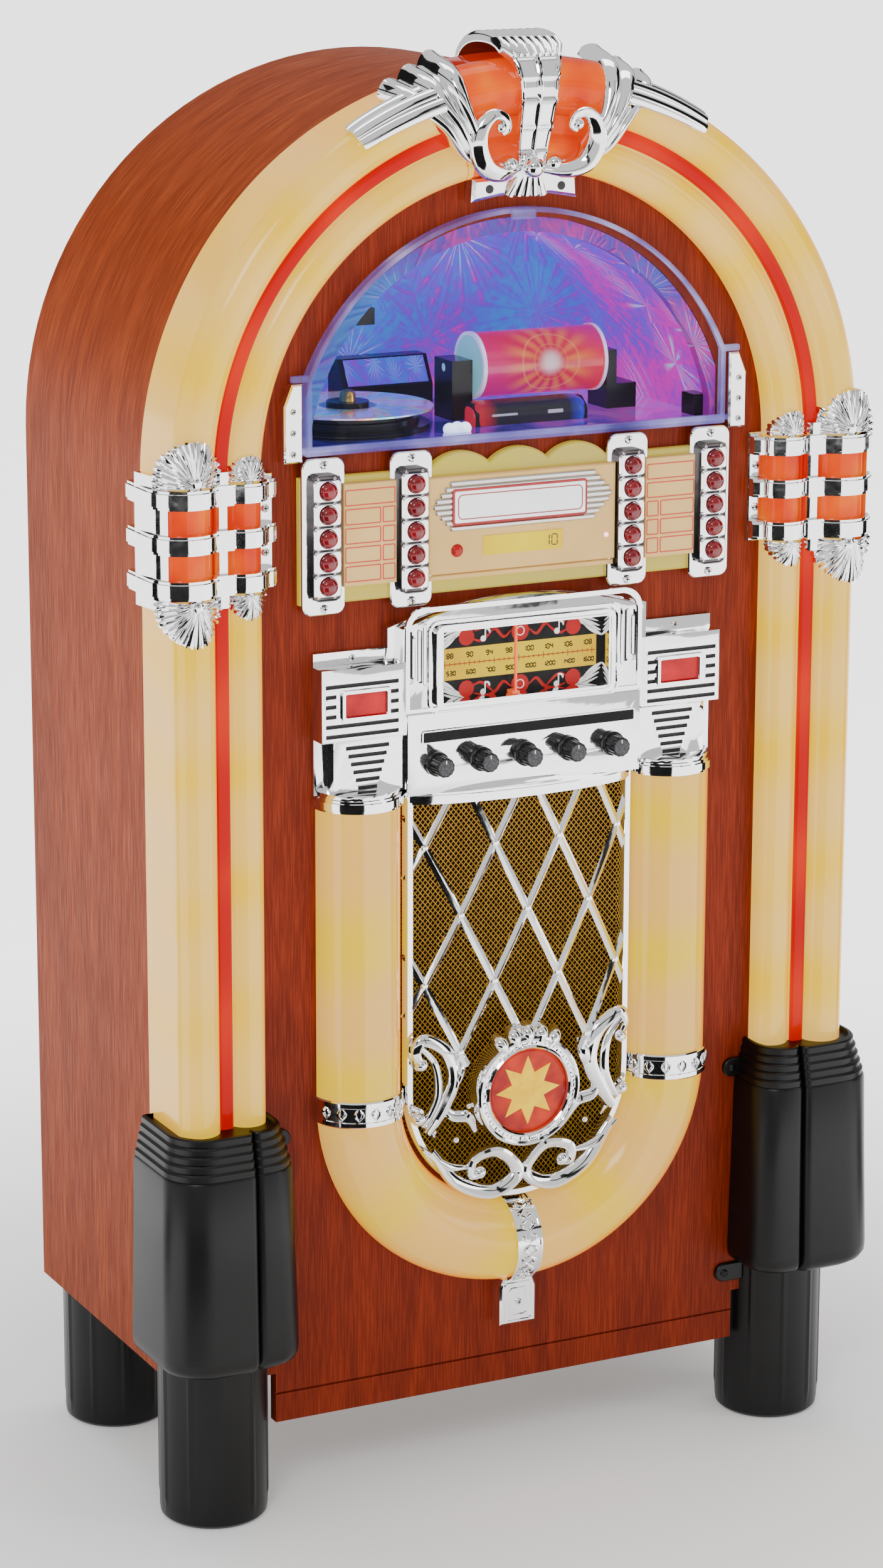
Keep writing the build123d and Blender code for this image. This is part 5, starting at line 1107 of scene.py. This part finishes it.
# Dial. A clear cover over a black printed sheet: a row of red discs, curls and plain notes with pale
# rays at its ends above and below a lit yellow scale with numbers and marks. The art is its own.
dial_red = mottled("dial_red", 160.0, glow=((0.55, 0.004, 0.003), (0.80, 0.012, 0.006)), Roughness=0.35,
                   Specular_IOR_Level=0.2, Base_Color=(0.25, 0.0, 0.0, 1), Emission_Strength=0.40)
dial_white = mottled("dial_white", 160.0, glow=((0.65, 0.62, 0.60), (0.95, 0.93, 0.90)), Roughness=0.4,
                     Emission_Strength=0.30)
dial_yellow, dial_yellow_shader, place = finish(
    "dial_yellow", Roughness=0.4, Specular_IOR_Level=0.2, Base_Color=(0.15, 0.10, 0.0, 1),
    Emission_Strength=1.0)
spread = place.noise(26.0)
(place.axes()[0].math("ABSOLUTE") * 8 + spread * 0.5).ramp(
    (0.15, (1.0, 0.76, 0.0)), (0.5, (0.95, 0.62, 0.0)), (0.9, (0.85, 0.45, 0.0))).to(
    dial_yellow_shader, "Emission Color")
dial_black = mottled("dial_black", 120.0, ((0.002, 0.002, 0.002), (0.005, 0.004, 0.004)), Roughness=0.35,
                     Specular_IOR_Level=0.15)


def ribbon(points, width, face, tint, count):
    """A printed stripe along a smooth line that tapers to both ends."""
    line = curve(points, count)
    ahead = np.gradient(line, axis=0)
    ahead /= np.linalg.norm(ahead, axis=1)[:, None]
    across = np.stack([-ahead[:, 1], ahead[:, 0]], -1)
    half = width / 2 * np.sin(np.linspace(0.12, np.pi - 0.12, count))[:, None] ** 0.6
    outline = np.concatenate([line + across * half, (line - across * half)[::-1]])
    return plate(outline[::-1], ((0, face), (0, face - 0.12)), tint)


art = []
base = -9.0
scale_height = 608.2
for up in (-1, 1):
    middle = scale_height + up * 19.0
    art.append(disc(0, middle, 6.9, ((0, base - 0.2), (0, base - 0.45)), 0, 32))
    art.append(rim(arc(0, middle, 3.4, 0, 345, 24), arc(0, middle, 2.7, 0, 345, 24),
                   (base - 0.3, base - 0.6), 1))
    for side in (-1, 1):
        note = side * 29
        art.append(disc(side * 42, middle - up * 0.6, 6.0, ((0, base - 0.2), (0, base - 0.4)), 0, 28))
        art.append(ribbon([(side * 7, middle + up * 1), (side * 13, middle - up * 3),
                           (side * 19, middle + up * 3), (side * 26, middle + up * 5.5),
                           (side * 36, middle + up * 3)], 2.4, base - 0.1, 0, 30))
        art.append(ribbon([(side * 20, middle + up * 4), (side * 30, middle - up * 4),
                           (side * 38, middle - up * 2)], 2.0, base - 0.1, 0, 24))
        art.append(disc(note, middle - 2.8, 2.2, ((0, base - 0.3), (0, base - 0.5)), 1, 16))
        art.append(slab(note + 1.6, middle + 0.8, 1.0, 7.6, 0.3, base - 0.3, base - 0.5, 1, 2))
        art.append(ribbon([(note + 1.6, middle + 4.4), (note + 4.4, middle + 3.2),
                           (note + 5.2, middle + 0.8)], 1.6, base - 0.3, 1, 14))
        for step in range(4):
            art.append(ribbon([(side * (65 - step * 1.0), middle - up * (9 - step * 3.4)),
                               (side * (57 - step * 2.4), middle - up * (4.5 - step * 3.3)),
                               (side * (50 - step * 4.5), middle + up * (1.0 + step * 2.2))],
                              3.0 - step * 0.4, base - 0.1, 1, 24))
art.append(slab(-1, scale_height, 123, 22.4, 0.8, base, base - 0.35, 2))
art.append(slab(-1, scale_height, 121, 0.6, 0.2, base - 0.3, base - 0.5, 0, 2))
for mark in range(31):
    tall = 2.4 if mark % 5 == 0 else 1.3
    for up in (1, -1):
        art.append(slab(-59 + mark * 3.87, scale_height + up * tall / 2, 0.34, tall, 0.1,
                        base - 0.3, base - 0.5, 3, 2))


def figure(x, z, number, size, face, tint):
    """Plain bar numbers, one after another from the left."""
    bars = ("abcdef", "bc", "abged", "abgcd", "fgbc", "afgcd", "afgedc", "abc", "abcdefg", "abfgcd")
    made = []
    for place, character in enumerate(number):
        left = x + (place - (len(number) - 1) / 2) * size * 1.5
        made += digit(left, z, bars[int(character)], size, size * 1.7, face, tint)
    return made


for step, number in enumerate(("88", "90", "94", "98", "100", "104", "106", "108")):
    art += figure(-55 + step * 15.4, 614.2, number, 1.9, base - 0.4, 3)
for step, number in enumerate(("530", "600", "700", "900", "1000", "1200", "1400", "1600")):
    art += figure(-54 + step * 15.4, 601.8, number, 1.7, base - 0.4, 3)
build("dial_art", art, [dial_red, dial_white, dial_yellow, dial_black], hides=["dial_plate"],
      sharp=20)
sheet_behind = slab(0, dial_height, 133.6, 53.6, 4.4, -7.2, -8.9, count=8)
build("dial_sheet", [sheet_behind], [dial_black])
cover, cover_shader, place = finish(
    "clear_cover", Roughness=0.02, IOR=1.49, Specular_IOR_Level=0.4, Base_Color=(0.05, 0.05, 0.05, 1))
smear = place.noise(9.0)
(smear * 0.03 + 0.01).to(cover_shader, "Alpha")
glass = plate(rounded(0, dial_height, 133.8, 53.8, 4.4, 8), ((0, -16.2), (0, -17.6), (1.5, -18.2)))
build("dial_cover", [glass], [cover])

# Pointer. An orange-red needle on a carriage behind the cover; the tuning knob's cord moves it.
dress(["dial_pointer"],
      mottled("needle_paint", 150.0, glow=((0.85, 0.10, 0.02), (1.0, 0.22, 0.04)), Roughness=0.3,
              Base_Color=(0.8, 0.1, 0.02, 1), Emission_Strength=0.5))

# Label strip. A black strip with a chrome outline runs under the dial above the knobs, left bare.
strip = [slab(3, 560.5, 166, 7.4, 1.0, -17.5, -18.9, 1),
         rim(rounded(3, 560.5, 168, 9, 1.6), rounded(3, 560.5, 166, 7.2, 0.8), (-17.5, -19.2))]
build("label_strip", strip, [chrome, dial_black], sharp=25)

# Rockers. Red switch caps that glow, with a dished face; each rocks on its pins.
dress(["power_rocker", "light_rocker"],
      mottled("rocker_red", 60.0, ((0.18, 0.001, 0.002), (0.35, 0.003, 0.004)),
              ((0.40, 0.001, 0.006), (0.80, 0.008, 0.02)), Roughness=0.3, Specular_IOR_Level=0.25,
              Emission_Strength=0.50))

# Knobs. Five black caps with twelve flutes, a wider skirt and a brushed grey face.
knob_black = black_moulding("knob_black", 0.003, 0.008, 0.22, 0.1)
knob_face = mottled("knob_face", 700.0, ((0.03, 0.03, 0.032), (0.08, 0.08, 0.085)), rough=(0.15, 0.28),
                    Metallic=0.8)
knob_height = 541
turns = np.linspace(0, 2 * np.pi, 96, endpoint=False)
flutes = 0.55 * (0.5 + 0.5 * np.cos(turns * 12)) ** 2
knob_steps = ((8.7, -18.3, 0), (8.7, -20.6, 0), (8.1, -21.2, 0), (7.4, -21.4, 0.6), (7.35, -22.4, 1),
              (7.15, -31.4, 1), (6.9, -32.4, 0.6), (6.2, -33.0, 0), (5.9, -33.0, 0))
for number, name in enumerate(("volume", "treble", "tuning", "bass", "function")):
    x = (number - 2) * 34.6
    rings = []
    for radius, depth, share in knob_steps:
        reach = radius - flutes * share
        ring = np.stack([x + reach * np.cos(turns), knob_height + reach * np.sin(turns)], -1)
        rings.append(at_depth(ring, depth))
    face = disc(x, knob_height, 5.9, ((0, -32.6), (0, -32.85), (0.3, -33.2), (3, -33.35)), 1, 48)
    mark = slab(x, knob_height + 4.2, 0.7, 2.6, 0.2, -33.2, -33.45, 2, 2)
    build(f"knob_{name}_cap", [tube(rings), face, mark], [knob_black, knob_face, dial_white],
          body=f"knob_{name}", hides=[f"knob_{name}"], sharp=30)

# Light tube. A milky cream U stands round the loudspeaker grille: two legs and a half-round bottom
# of one half-round section, lit from inside with soft yellow spots.
tube_arc = 300
tube_middle = 123
tube_reach = 31
tube_top = 520.0
tube_glow = lit_plastic("cream_tube", (0.85, 0.25, 0.01), (1.0, 0.55, 0.105), (1.0, 0.64, 0.0), 0.80, 0.105,
                        bend=0.123, curve_height=0.300, below=True)
bulge = np.radians(np.linspace(0, 180, 25))
section = np.stack([tube_middle + tube_reach * np.cos(bulge), -tube_reach * np.sin(bulge)], -1)
tilts = np.radians(np.linspace(-180, 0, 73))
path = [np.stack([section[:, 0] * np.cos(t), section[:, 1], tube_arc + section[:, 0] * np.sin(t)], -1)
        for t in tilts]
left_end, right_end = [at_height(section * (side, 1), tube_top) for side in (-1, 1)]
build("u_tube", [tube([left_end, *path, right_end])], [tube_glow], hides=["u_lens"])

# Collars. Chrome half rings close the tube's legs where they meet the radio front.


def clasp(side, steps):
    """A collar round a leg of the tube: half rings, each as far off the leg as its swell."""
    return tube([np.column_stack([side * tube_middle + (tube_reach + swell) * np.cos(bulge),
                                  -(tube_reach + swell) * np.sin(bulge), np.full(25, height)])
                 for height, swell in steps])


collars = [clasp(side, ((low, swell), (high, swell))) for side in (-1, 1)
           for low, high, swell in ((514.5, 516.3, 1.2), (516.3, 521.6, 2.6), (521.6, 523.4, 1.2))]
build("tube_collars", collars, [chrome], sharp=30)

# Clips. A chrome band with leaf relief grips each leg of the tube above its bend.
clips = []
for side in (-1, 1):
    clips.append(clasp(side, ((287, 1.4), (288, 2.3), (291, 2.3), (291.4, 1.6), (301.6, 1.6), (302, 2.3),
                              (305, 2.3), (306, 1.4))))
    for leaf in range(7):
        angle = np.radians(24 + leaf * 22)
        reach = tube_reach + 1.9
        x, y = side * tube_middle + reach * np.cos(angle), -reach * np.sin(angle)
        tangent = np.array([-np.sin(angle), -np.cos(angle)])
        for lean in (-1, 1):
            leaf_line = [(x + tangent[0] * lean * out, y + tangent[1] * lean * out, height)
                         for out, height in ((0, 292.5), (2.6, 297), (0.8, 301))]
            clips.append(bar(leaf_line, (0.5, 1.25, 0.4), 12, 8))
build("leaf_clips", clips, [chrome], hides=["lens_clips"], sharp=32)

# Strap and foot block. A narrow chrome strap with leaf relief runs round the tube at the bottom into
# a block on the kick board with raised panel lines and a screw.
strap_turns = np.radians(np.linspace(2, 178, 40))
half = 10.0
sides_x = np.array([-half, -half, -half + 1.4, -half + 1.4, half - 1.4, half - 1.4, half, half])
lifts = np.array([-1.0, 1.6, 1.6, 0.7, 0.7, 1.6, 1.6, -1.0])
rings = []
for t in strap_turns:
    reach = tube_reach + 0.4 + lifts
    rings.append(np.stack([sides_x, -reach * np.sin(t), tube_arc - tube_middle - reach * np.cos(t)], -1))
block = [tube(rings)]
for step in range(9):
    t = np.radians(24 + step * 16)
    reach = tube_reach + 1.4
    centre = np.array([0, -reach * np.sin(t), tube_arc - tube_middle - reach * np.cos(t)])
    along = np.array([0, -np.cos(t), np.sin(t)])
    for lean in (-1, 1):
        leaf_line = [centre - along * 3.4, centre + (lean * 4.6, 0, 0), centre + along * 3.6]
        block.append(bar(leaf_line, (0.6, 1.5, 0.5), 14, 8))
block.append(plate([(-14.5, 113), (14.5, 113), (14.5, 141), (11.5, 149), (-11.5, 149), (-14.5, 141)],
                   ((0, 0), (0, -12.6), (1.4, -14))))
for inset in (0, 4.2):
    wide = 22.4 - inset * 2
    tall = 30 - inset * 2
    block.append(rim(rounded(0, 130, wide, tall, 2.4, 4), rounded(0, 130, wide - 2.2, tall - 2.2, 1.6, 4),
                     (-13.6, -14.9)))
block += screw(0, 130, -13.9, 2.6)
build("strap_block", block, [chrome, recess_shade], sharp=30)

# Mesh. Expanded metal, gold lacquered: a net of crossing strands with small diamond holes over the
# dark loudspeaker cloth. The strands glow warm, more strongly towards the top: painted light of a
# lamp above.
mesh_gold, mesh_shader, place = finish("expanded_gold", Metallic=0.85, Emission_Strength=0.25)
x, y, z = place.axes()
cells_wide = 250.0
cells_tall = 215.0
rising = ((x * cells_wide + z * cells_tall).math("FRACT") - 0.5).math("ABSOLUTE") * 2.0
falling = ((z * cells_tall - x * cells_wide).math("FRACT") - 0.5).math("ABSOLUTE") * 2.0
hole = 1 - rising.math("MAXIMUM", falling).within(0.66, 0.86)
brass_tone = place.noise(260.0).ramp((0.3, (0.45, 0.24, 0.01)), (0.7, (0.95, 0.60, 0.03)))
hole.blend(brass_tone, (0.008, 0.003, 0.001, 1)).to(mesh_shader, "Base Color")
# Painted light: a warm glow on the strands that grows towards the top.
warm = z.within(0.20, 0.53) * 0.8 + 0.15
(warm * (1 - hole)).blend((0, 0, 0, 1), (1.0, 0.45, 0.10, 1)).to(mesh_shader, "Emission Color")
(hole * 0.5 + 0.28).to(mesh_shader, "Roughness")
(rising * (1 - hole)).bump(1.0, 0.002).to(mesh_shader, "Normal")
dress(["speaker_mesh"], mesh_gold)

# Lattice. Chrome bars bow forward over the mesh and cross in tall diamonds; each bar has a ridge
# along its middle, and a small stud sits where two cross. A rail runs round the U.
bow_half, bow_deep = 95.0, 24.0
diamond_wide, diamond_step, first_crossing = 51.0, 50.5, 480
lean = diamond_wide / 2 / diamond_step


def bowed(x):
    """Depth of the bow: the front half of an oval across the grille."""
    return -bow_deep * np.sqrt(np.clip(1 - (x / bow_half) ** 2, 0.0, 1))


def lattice_bar(x_low, z_low, x_high, z_high):
    """A bar laid on the bow between two points, with a roof-shaped front."""
    count = max(int(abs(z_high - z_low) / 4), 6)
    x = np.linspace(x_low, x_high, count)
    z = np.linspace(z_low, z_high, count)
    slope = np.sign(x_high - x_low)
    wide = np.array([np.cos(np.arctan(lean)), 0, -slope * np.sin(np.arctan(lean))]) * 2.9
    rings = []
    for across, up in zip(x, z):
        face = bowed(across)
        centre = np.array([across, 0, up])
        rings.append([centre + wide * share + (0, face + depth, 0) for share, depth in
                      ((-1, 3.4), (-1, 0.9), (-0.55, 0.2), (0, -0.9), (0.55, 0.2), (1, 0.9), (1, 3.4))])
    return tube(rings)


lattice = []
heights = np.linspace(318.0, 513.0, 400)
for crossing in range(-5, 6):
    for slope in (-1, 1):
        xs = (crossing + 0.5) * diamond_wide + slope * (heights - first_crossing) * lean
        inside = np.flatnonzero(np.abs(xs) < 88.6)
        if len(inside) > 12:
            first, last = inside[0], inside[-1]
            lattice.append(lattice_bar(xs[first], heights[first], xs[last], heights[last]))
for row in range(-1, 4):
    for column in range(-2, 3):
        x = column * diamond_wide + diamond_wide / 2 * (1 - row % 2)
        z = first_crossing - row * diamond_step
        if abs(x) < 84 and 322 < z < 508:
            stud = ((0, bowed(x) + 0.5), (0.4, bowed(x) - 0.4), (1.6, bowed(x) - 0.9))
            lattice.append(disc(x, z, 3.0, stud, 0, 12))
rail = []
for inset, depth in ((0, -2), (0, -10.2), (0.8, -11.6), (4.8, -11.6), (5.6, -10.2), (5.6, -2)):
    reach = 89.2 - inset
    line = np.concatenate([[(-reach, 519)], arc(0, tube_arc, reach, 180, 360, 49), [(reach, 519)]])
    rail.append(at_depth(line, depth))
lattice.append(tube(np.stack(rail, 1)))
bars = np.linspace(-89, 89, 61)
for low, high, swell in ((511.6, 513.2, 1.0), (513.2, 518.0, 2.0), (518.0, 519.6, 1.0)):
    front = np.stack([bars, np.minimum(bowed(bars) - swell, -3.0)], -1)
    back = np.stack([bars[::-1], np.full(61, -2.2)], -1)
    lattice.append(tube(legs(np.concatenate([front, back]), low, high)))

# Scrollwork. Below the lattice acanthus curls and balls flank the ring; the ring has a key-pattern
# border between two beads, and five studs crest it.
scroll_lines = (
    (((-80, 322), (-84, 332), (-78, 340), (-61, 329), (-55, 308), (-64, 286), (-75, 270)),
     (2.0, 2.6, 3.2, 3.6, 3.8, 3.6, 2.4)),
    (((-72, 256), (-52, 230), (-24, 219), (-3, 231), (-18, 249), (-38, 246), (-40, 234), (-30, 233)),
     (2.4, 3.6, 3.8, 3.6, 3.4, 3.0, 2.4, 1.8)),
    (((-62, 288), (-56, 281), (-44, 278), (-37, 267)), (2.0, 3.0, 3.0, 1.8)),
    (((-48, 326), (-51, 312), (-60, 292)), (2.2, 3.2, 2.2)),
    (((-84, 338), (-70, 322), (-67, 300), (-73, 284), (-79, 276)), (1.2, 2.0, 2.4, 2.0, 1.2)),
    (((-78, 258), (-60, 244), (-44, 240)), (1.2, 2.2, 1.2)))
scrolls = []
for points, widths in scroll_lines:
    raised = [(x, -15.5 - 1.5 * np.sin(np.pi * step / (len(points) - 1)), z)
              for step, (x, z) in enumerate(points)]
    scrolls.append(bar(raised, np.array(widths) * 1.6, 18 * len(points), 14, 3, 0.18, 0.9))
for x, z, radius in ((-80, 322, 5.2), (-33, 235, 5.2), (-82, 282, 5.2), (-42, 286, 2.4), (-52, 262, 2.6)):
    scrolls.append(ball(x, -15.5, z, radius))
for spike in range(5):
    turns = np.radians(196 + spike * 16)
    x, z = -70 + 16 * np.cos(turns), 296 + 34 * np.sin(turns) * 0.6
    tip_x, tip_z = x + (10.5 - spike * 1.2), z + (-9 - spike)
    spike_line = [(x, -12, z), ((x + tip_x) / 2, -14.5, (z + tip_z) / 2 + 1.5), (tip_x, -12, tip_z)]
    scrolls.append(bar(spike_line, (2.0, 2.4, 0.8), 14, 8))
scrolls = mirrored(scrolls)
ring_height = 295
turns = np.linspace(0, 2 * np.pi, 96, endpoint=False)
profile = ((41.3, -12), (41.3, -27.0), (40.6, -28.9), (39.0, -29.6), (37.6, -28.9), (37.4, -27.6),
           (34.0, -27.6), (33.8, -28.9), (32.6, -29.9), (31.5, -28.9), (31.3, -26), (31.3, -12))
circle = np.stack([np.cos(turns), np.sin(turns)], -1)
scrolls.append(tube([at_depth(r * circle + (0, ring_height), depth) for r, depth in profile], closed=True))
key_strokes = ((-4.6, 4.6, 36.5, 37.1), (-4.6, -3.6, 34.6, 36.9), (1.2, 2.2, 34.6, 36.0),
               (-2.6, 2.2, 34.3, 34.9))
for step in range(30):
    for start, stop, low, high in key_strokes:
        angles = np.radians(step * 12) + np.radians(np.linspace(start, stop, 4))
        outline = [(reach * np.cos(angle), ring_height + reach * np.sin(angle))
                   for reach, way in ((high, 1), (low, -1)) for angle in angles[::way]]
        scrolls.append(plate(outline, ((0, -27.3), (0, -28.6))))
for step in range(5):
    angle = np.radians(60 + step * 15)
    way = np.array([np.cos(angle), 0, np.sin(angle)])
    crest = [np.array([0, depth, ring_height]) + way * reach
             for depth, reach in ((-27, 36), (-25, 43), (-19, 48))]
    scrolls.append(bar(crest, (3.4, 5.2, 3.6), 16, 12))
build("lattice_grille", lattice + scrolls, [chrome], hides=["grille_casting"], sharp=34)

# Medallion. A red lens in the ring with a raised eight-pointed star, its facets lit yellow.
lens_red = mottled("medallion_red", 60.0, ((0.18, 0.002, 0.003), (0.35, 0.010, 0.0)),
                   ((0.30, 0.001, 0.002), (0.85, 0.06, 0.0)), Roughness=0.25, Specular_IOR_Level=0.25,
                   Emission_Strength=0.45)
star_yellow = mottled("star_yellow", 90.0, ((0.40, 0.22, 0.0), (0.50, 0.32, 0.0)),
                      ((0.95, 0.50, 0.0), (1.0, 0.66, 0.0)), Roughness=0.35, Specular_IOR_Level=0.25,
                      Emission_Strength=0.85)
star_turns = np.radians(np.arange(16) * 22.5)
reach = np.where(np.arange(16) % 2 == 0, 26.0, 14.0)
tips = np.stack([reach * np.sin(star_turns), reach * np.cos(star_turns)], -1)
star = [at_depth(tips * share + (0, ring_height), depth)
        for share, depth in ((1, -25.8), (0.97, -26.8), (0.03, -29.9))]
medal = [disc(0, ring_height, 30.9, ((0, -13), (0, -25.4), (2.2, -26.2)), 0, 64), tube(star, 1)]
build("star_lens", medal, [lens_red, star_yellow], hides=["star_medallion"], sharp=8)

# Inside and back. Loudspeakers with paper cones behind the mesh, a folded steel amplifier tray on the
# floor board, and black socket plates on the back board.
dress(["speakers"],
      mottled("paper_cone", 500.0, ((0.010, 0.010, 0.010), (0.035, 0.033, 0.030)), detail=4.0,
              bump=(0.5, 0.0006), Roughness=0.85))
zinc, zinc_shader, place = finish("folded_zinc", Metallic=1.0)
spangle = place.node("TexVoronoi", {"Vector": place, "Scale": 70.0})
spangle.ramp((0.1, (0.50, 0.51, 0.52)), (0.8, (0.66, 0.67, 0.69))).to(zinc_shader, "Base Color")
(spangle * 0.15 + 0.35).to(zinc_shader, "Roughness")
dress(["amplifier"], zinc)
dress(["rear_sockets"], satin_black)

# Floor and soft studio light: a pale sheet under and behind the cabinet that glows and lights from
# below, its glow dimmed near the cabinet as a painted shadow; one large lamp from the left front, a
# weaker one from the right and a strip over the top. The world is a plain white tent. Dark cards that
# only reflections see, flat by the cabinet's corners and upright round it, give the chrome its contrast.
white, white_shader, place = finish("studio_floor_painted_shadow", Roughness=0.9, Emission_Strength=1.85)
x, y, z = place.axes()
tone = place.noise(0.6)
tone.ramp((0.3, (0.93, 0.93, 0.93)), (0.7, (0.97, 0.97, 0.97))).to(white_shader, "Base Color")
# Painted shadow: the floor's glow is a tenth within about 0.2 m of the middle and full beyond 1.3 m.
away = (x * x + y * y) ** 0.5
away.within(0.22, 1.3).blend((0.10, 0.10, 0.10, 1), (1, 1, 1, 1)).to(white_shader, "Emission Color")
floor_mesh = bpy.data.meshes.new("floor")
floor_mesh.from_pydata([(-30, -30, 0), (30, -30, 0), (30, 30, 0), (-30, 30, 0)], [], [(0, 1, 2, 3)])
floor_mesh.materials.append(white)
floor = placed("floor", floor_mesh)
card_black = mottled("card_black", 2.0, ((0.004, 0.004, 0.004), (0.010, 0.010, 0.010)), Roughness=0.9,
                     Specular_IOR_Level=0.0)


def card(name, middle, spread, inner, outer):
    """A dark card round the cabinet: bearings within the spread of the middle one, between an inner
    and an outer edge, each given by its distance and height."""
    bearings = np.linspace(middle - spread, middle + spread, max(4, int(spread * 24)))
    way = np.stack([np.sin(bearings), -np.cos(bearings)], -1)
    corners = np.concatenate([at_height(way * distance, height) for distance, height in (inner, outer)])
    count = len(bearings)
    flat = bpy.data.meshes.new(name)
    flat.from_pydata(corners.tolist(), [], [(i, i + 1, count + i + 1, count + i) for i in range(count - 1)])
    flat.materials.append(card_black)
    held = placed(name, flat)
    held.visible_camera = held.visible_diffuse = held.visible_shadow = held.visible_transmission = False


for name, middle, spread in (("mat_left_front", -0.62, 0.48), ("mat_right", 1.45, 0.19),
                             ("mat_left", -1.95, 0.19)):
    card(name, middle, spread, (0.70, 0.002), (4.9, 0.002))
for name, middle, spread in (("wall_right", 1.35, 0.38), ("wall_left_front", -0.82, 0.12),
                             ("wall_left_back", -2.35, 0.21), ("wall_front", 0.25, 0.056)):
    card(name, middle, spread, (6.0, 0.9), (6.0, 6.8))
card("ring_above", 0.0, np.pi, (5.8, 2.5), (5.8, 3.2))


def lamp_at(name, place, target, size, power):
    """A soft lamp, as wide and tall as its size, that faces a point."""
    light = bpy.data.lights.new(name, "AREA")
    light.shape = "RECTANGLE"
    light.size, light.size_y = size
    light.energy = power
    stand = placed(name, light)
    stand.location = place
    stand.rotation_euler = (Vector(target) - Vector(place)).to_track_quat("-Z", "Y").to_euler()


lamp_at("key_lamp", (-2.4, -3.0, 3.0), (0, 0, 0.5), (1.2, 1.2), 50)
lamp_at("fill_lamp", (2.8, -2.6, 1.6), (0, 0, 0.5), (0.8, 2.2), 16)
lamp_at("top_lamp", (0.2, 0.4, 3.4), (0, 0, 0.6), (2.4, 1.2), 34)
world = bpy.data.worlds.new("studio")
bpy.context.scene.world = world
world.use_nodes = True
sky = Wire(world.node_tree)
way = sky.node("TexCoord", {}, output=0)
backdrop = world.node_tree.nodes["Background"]
backdrop.inputs["Strength"].default_value = 0.85
way.noise(1.0).ramp(
    (0.3, (0.98, 0.98, 0.98)), (0.7, (1.0, 1.0, 1.0))).to(backdrop, "Color")

# Camera, at the photograph's angle: a long lens a little above the crown, from the left front.
eye = bpy.data.cameras.new("camera")
eye.sensor_fit = "VERTICAL"
eye.sensor_height = 36
eye.lens = 98.12
eye.dof.use_dof = False
camera = placed("camera", eye)
bpy.context.scene.camera = camera
yaw, pitch, roll = np.radians((26.54, -14.39, 0.16))
ahead = np.array([np.sin(yaw) * np.cos(pitch), np.cos(yaw) * np.cos(pitch), np.sin(pitch)])
right = np.array([np.cos(yaw), -np.sin(yaw), 0])
up = np.cross(right, ahead)
turned_right = np.cos(roll) * right + np.sin(roll) * up
turned_up = np.cross(turned_right, ahead)
spot = np.array([-1.3523, -2.6995, 1.2649])
grid = np.eye(4)
grid[:3] = np.column_stack([turned_right, turned_up, -ahead, spot])
camera.matrix_world = Matrix(grid.tolist())
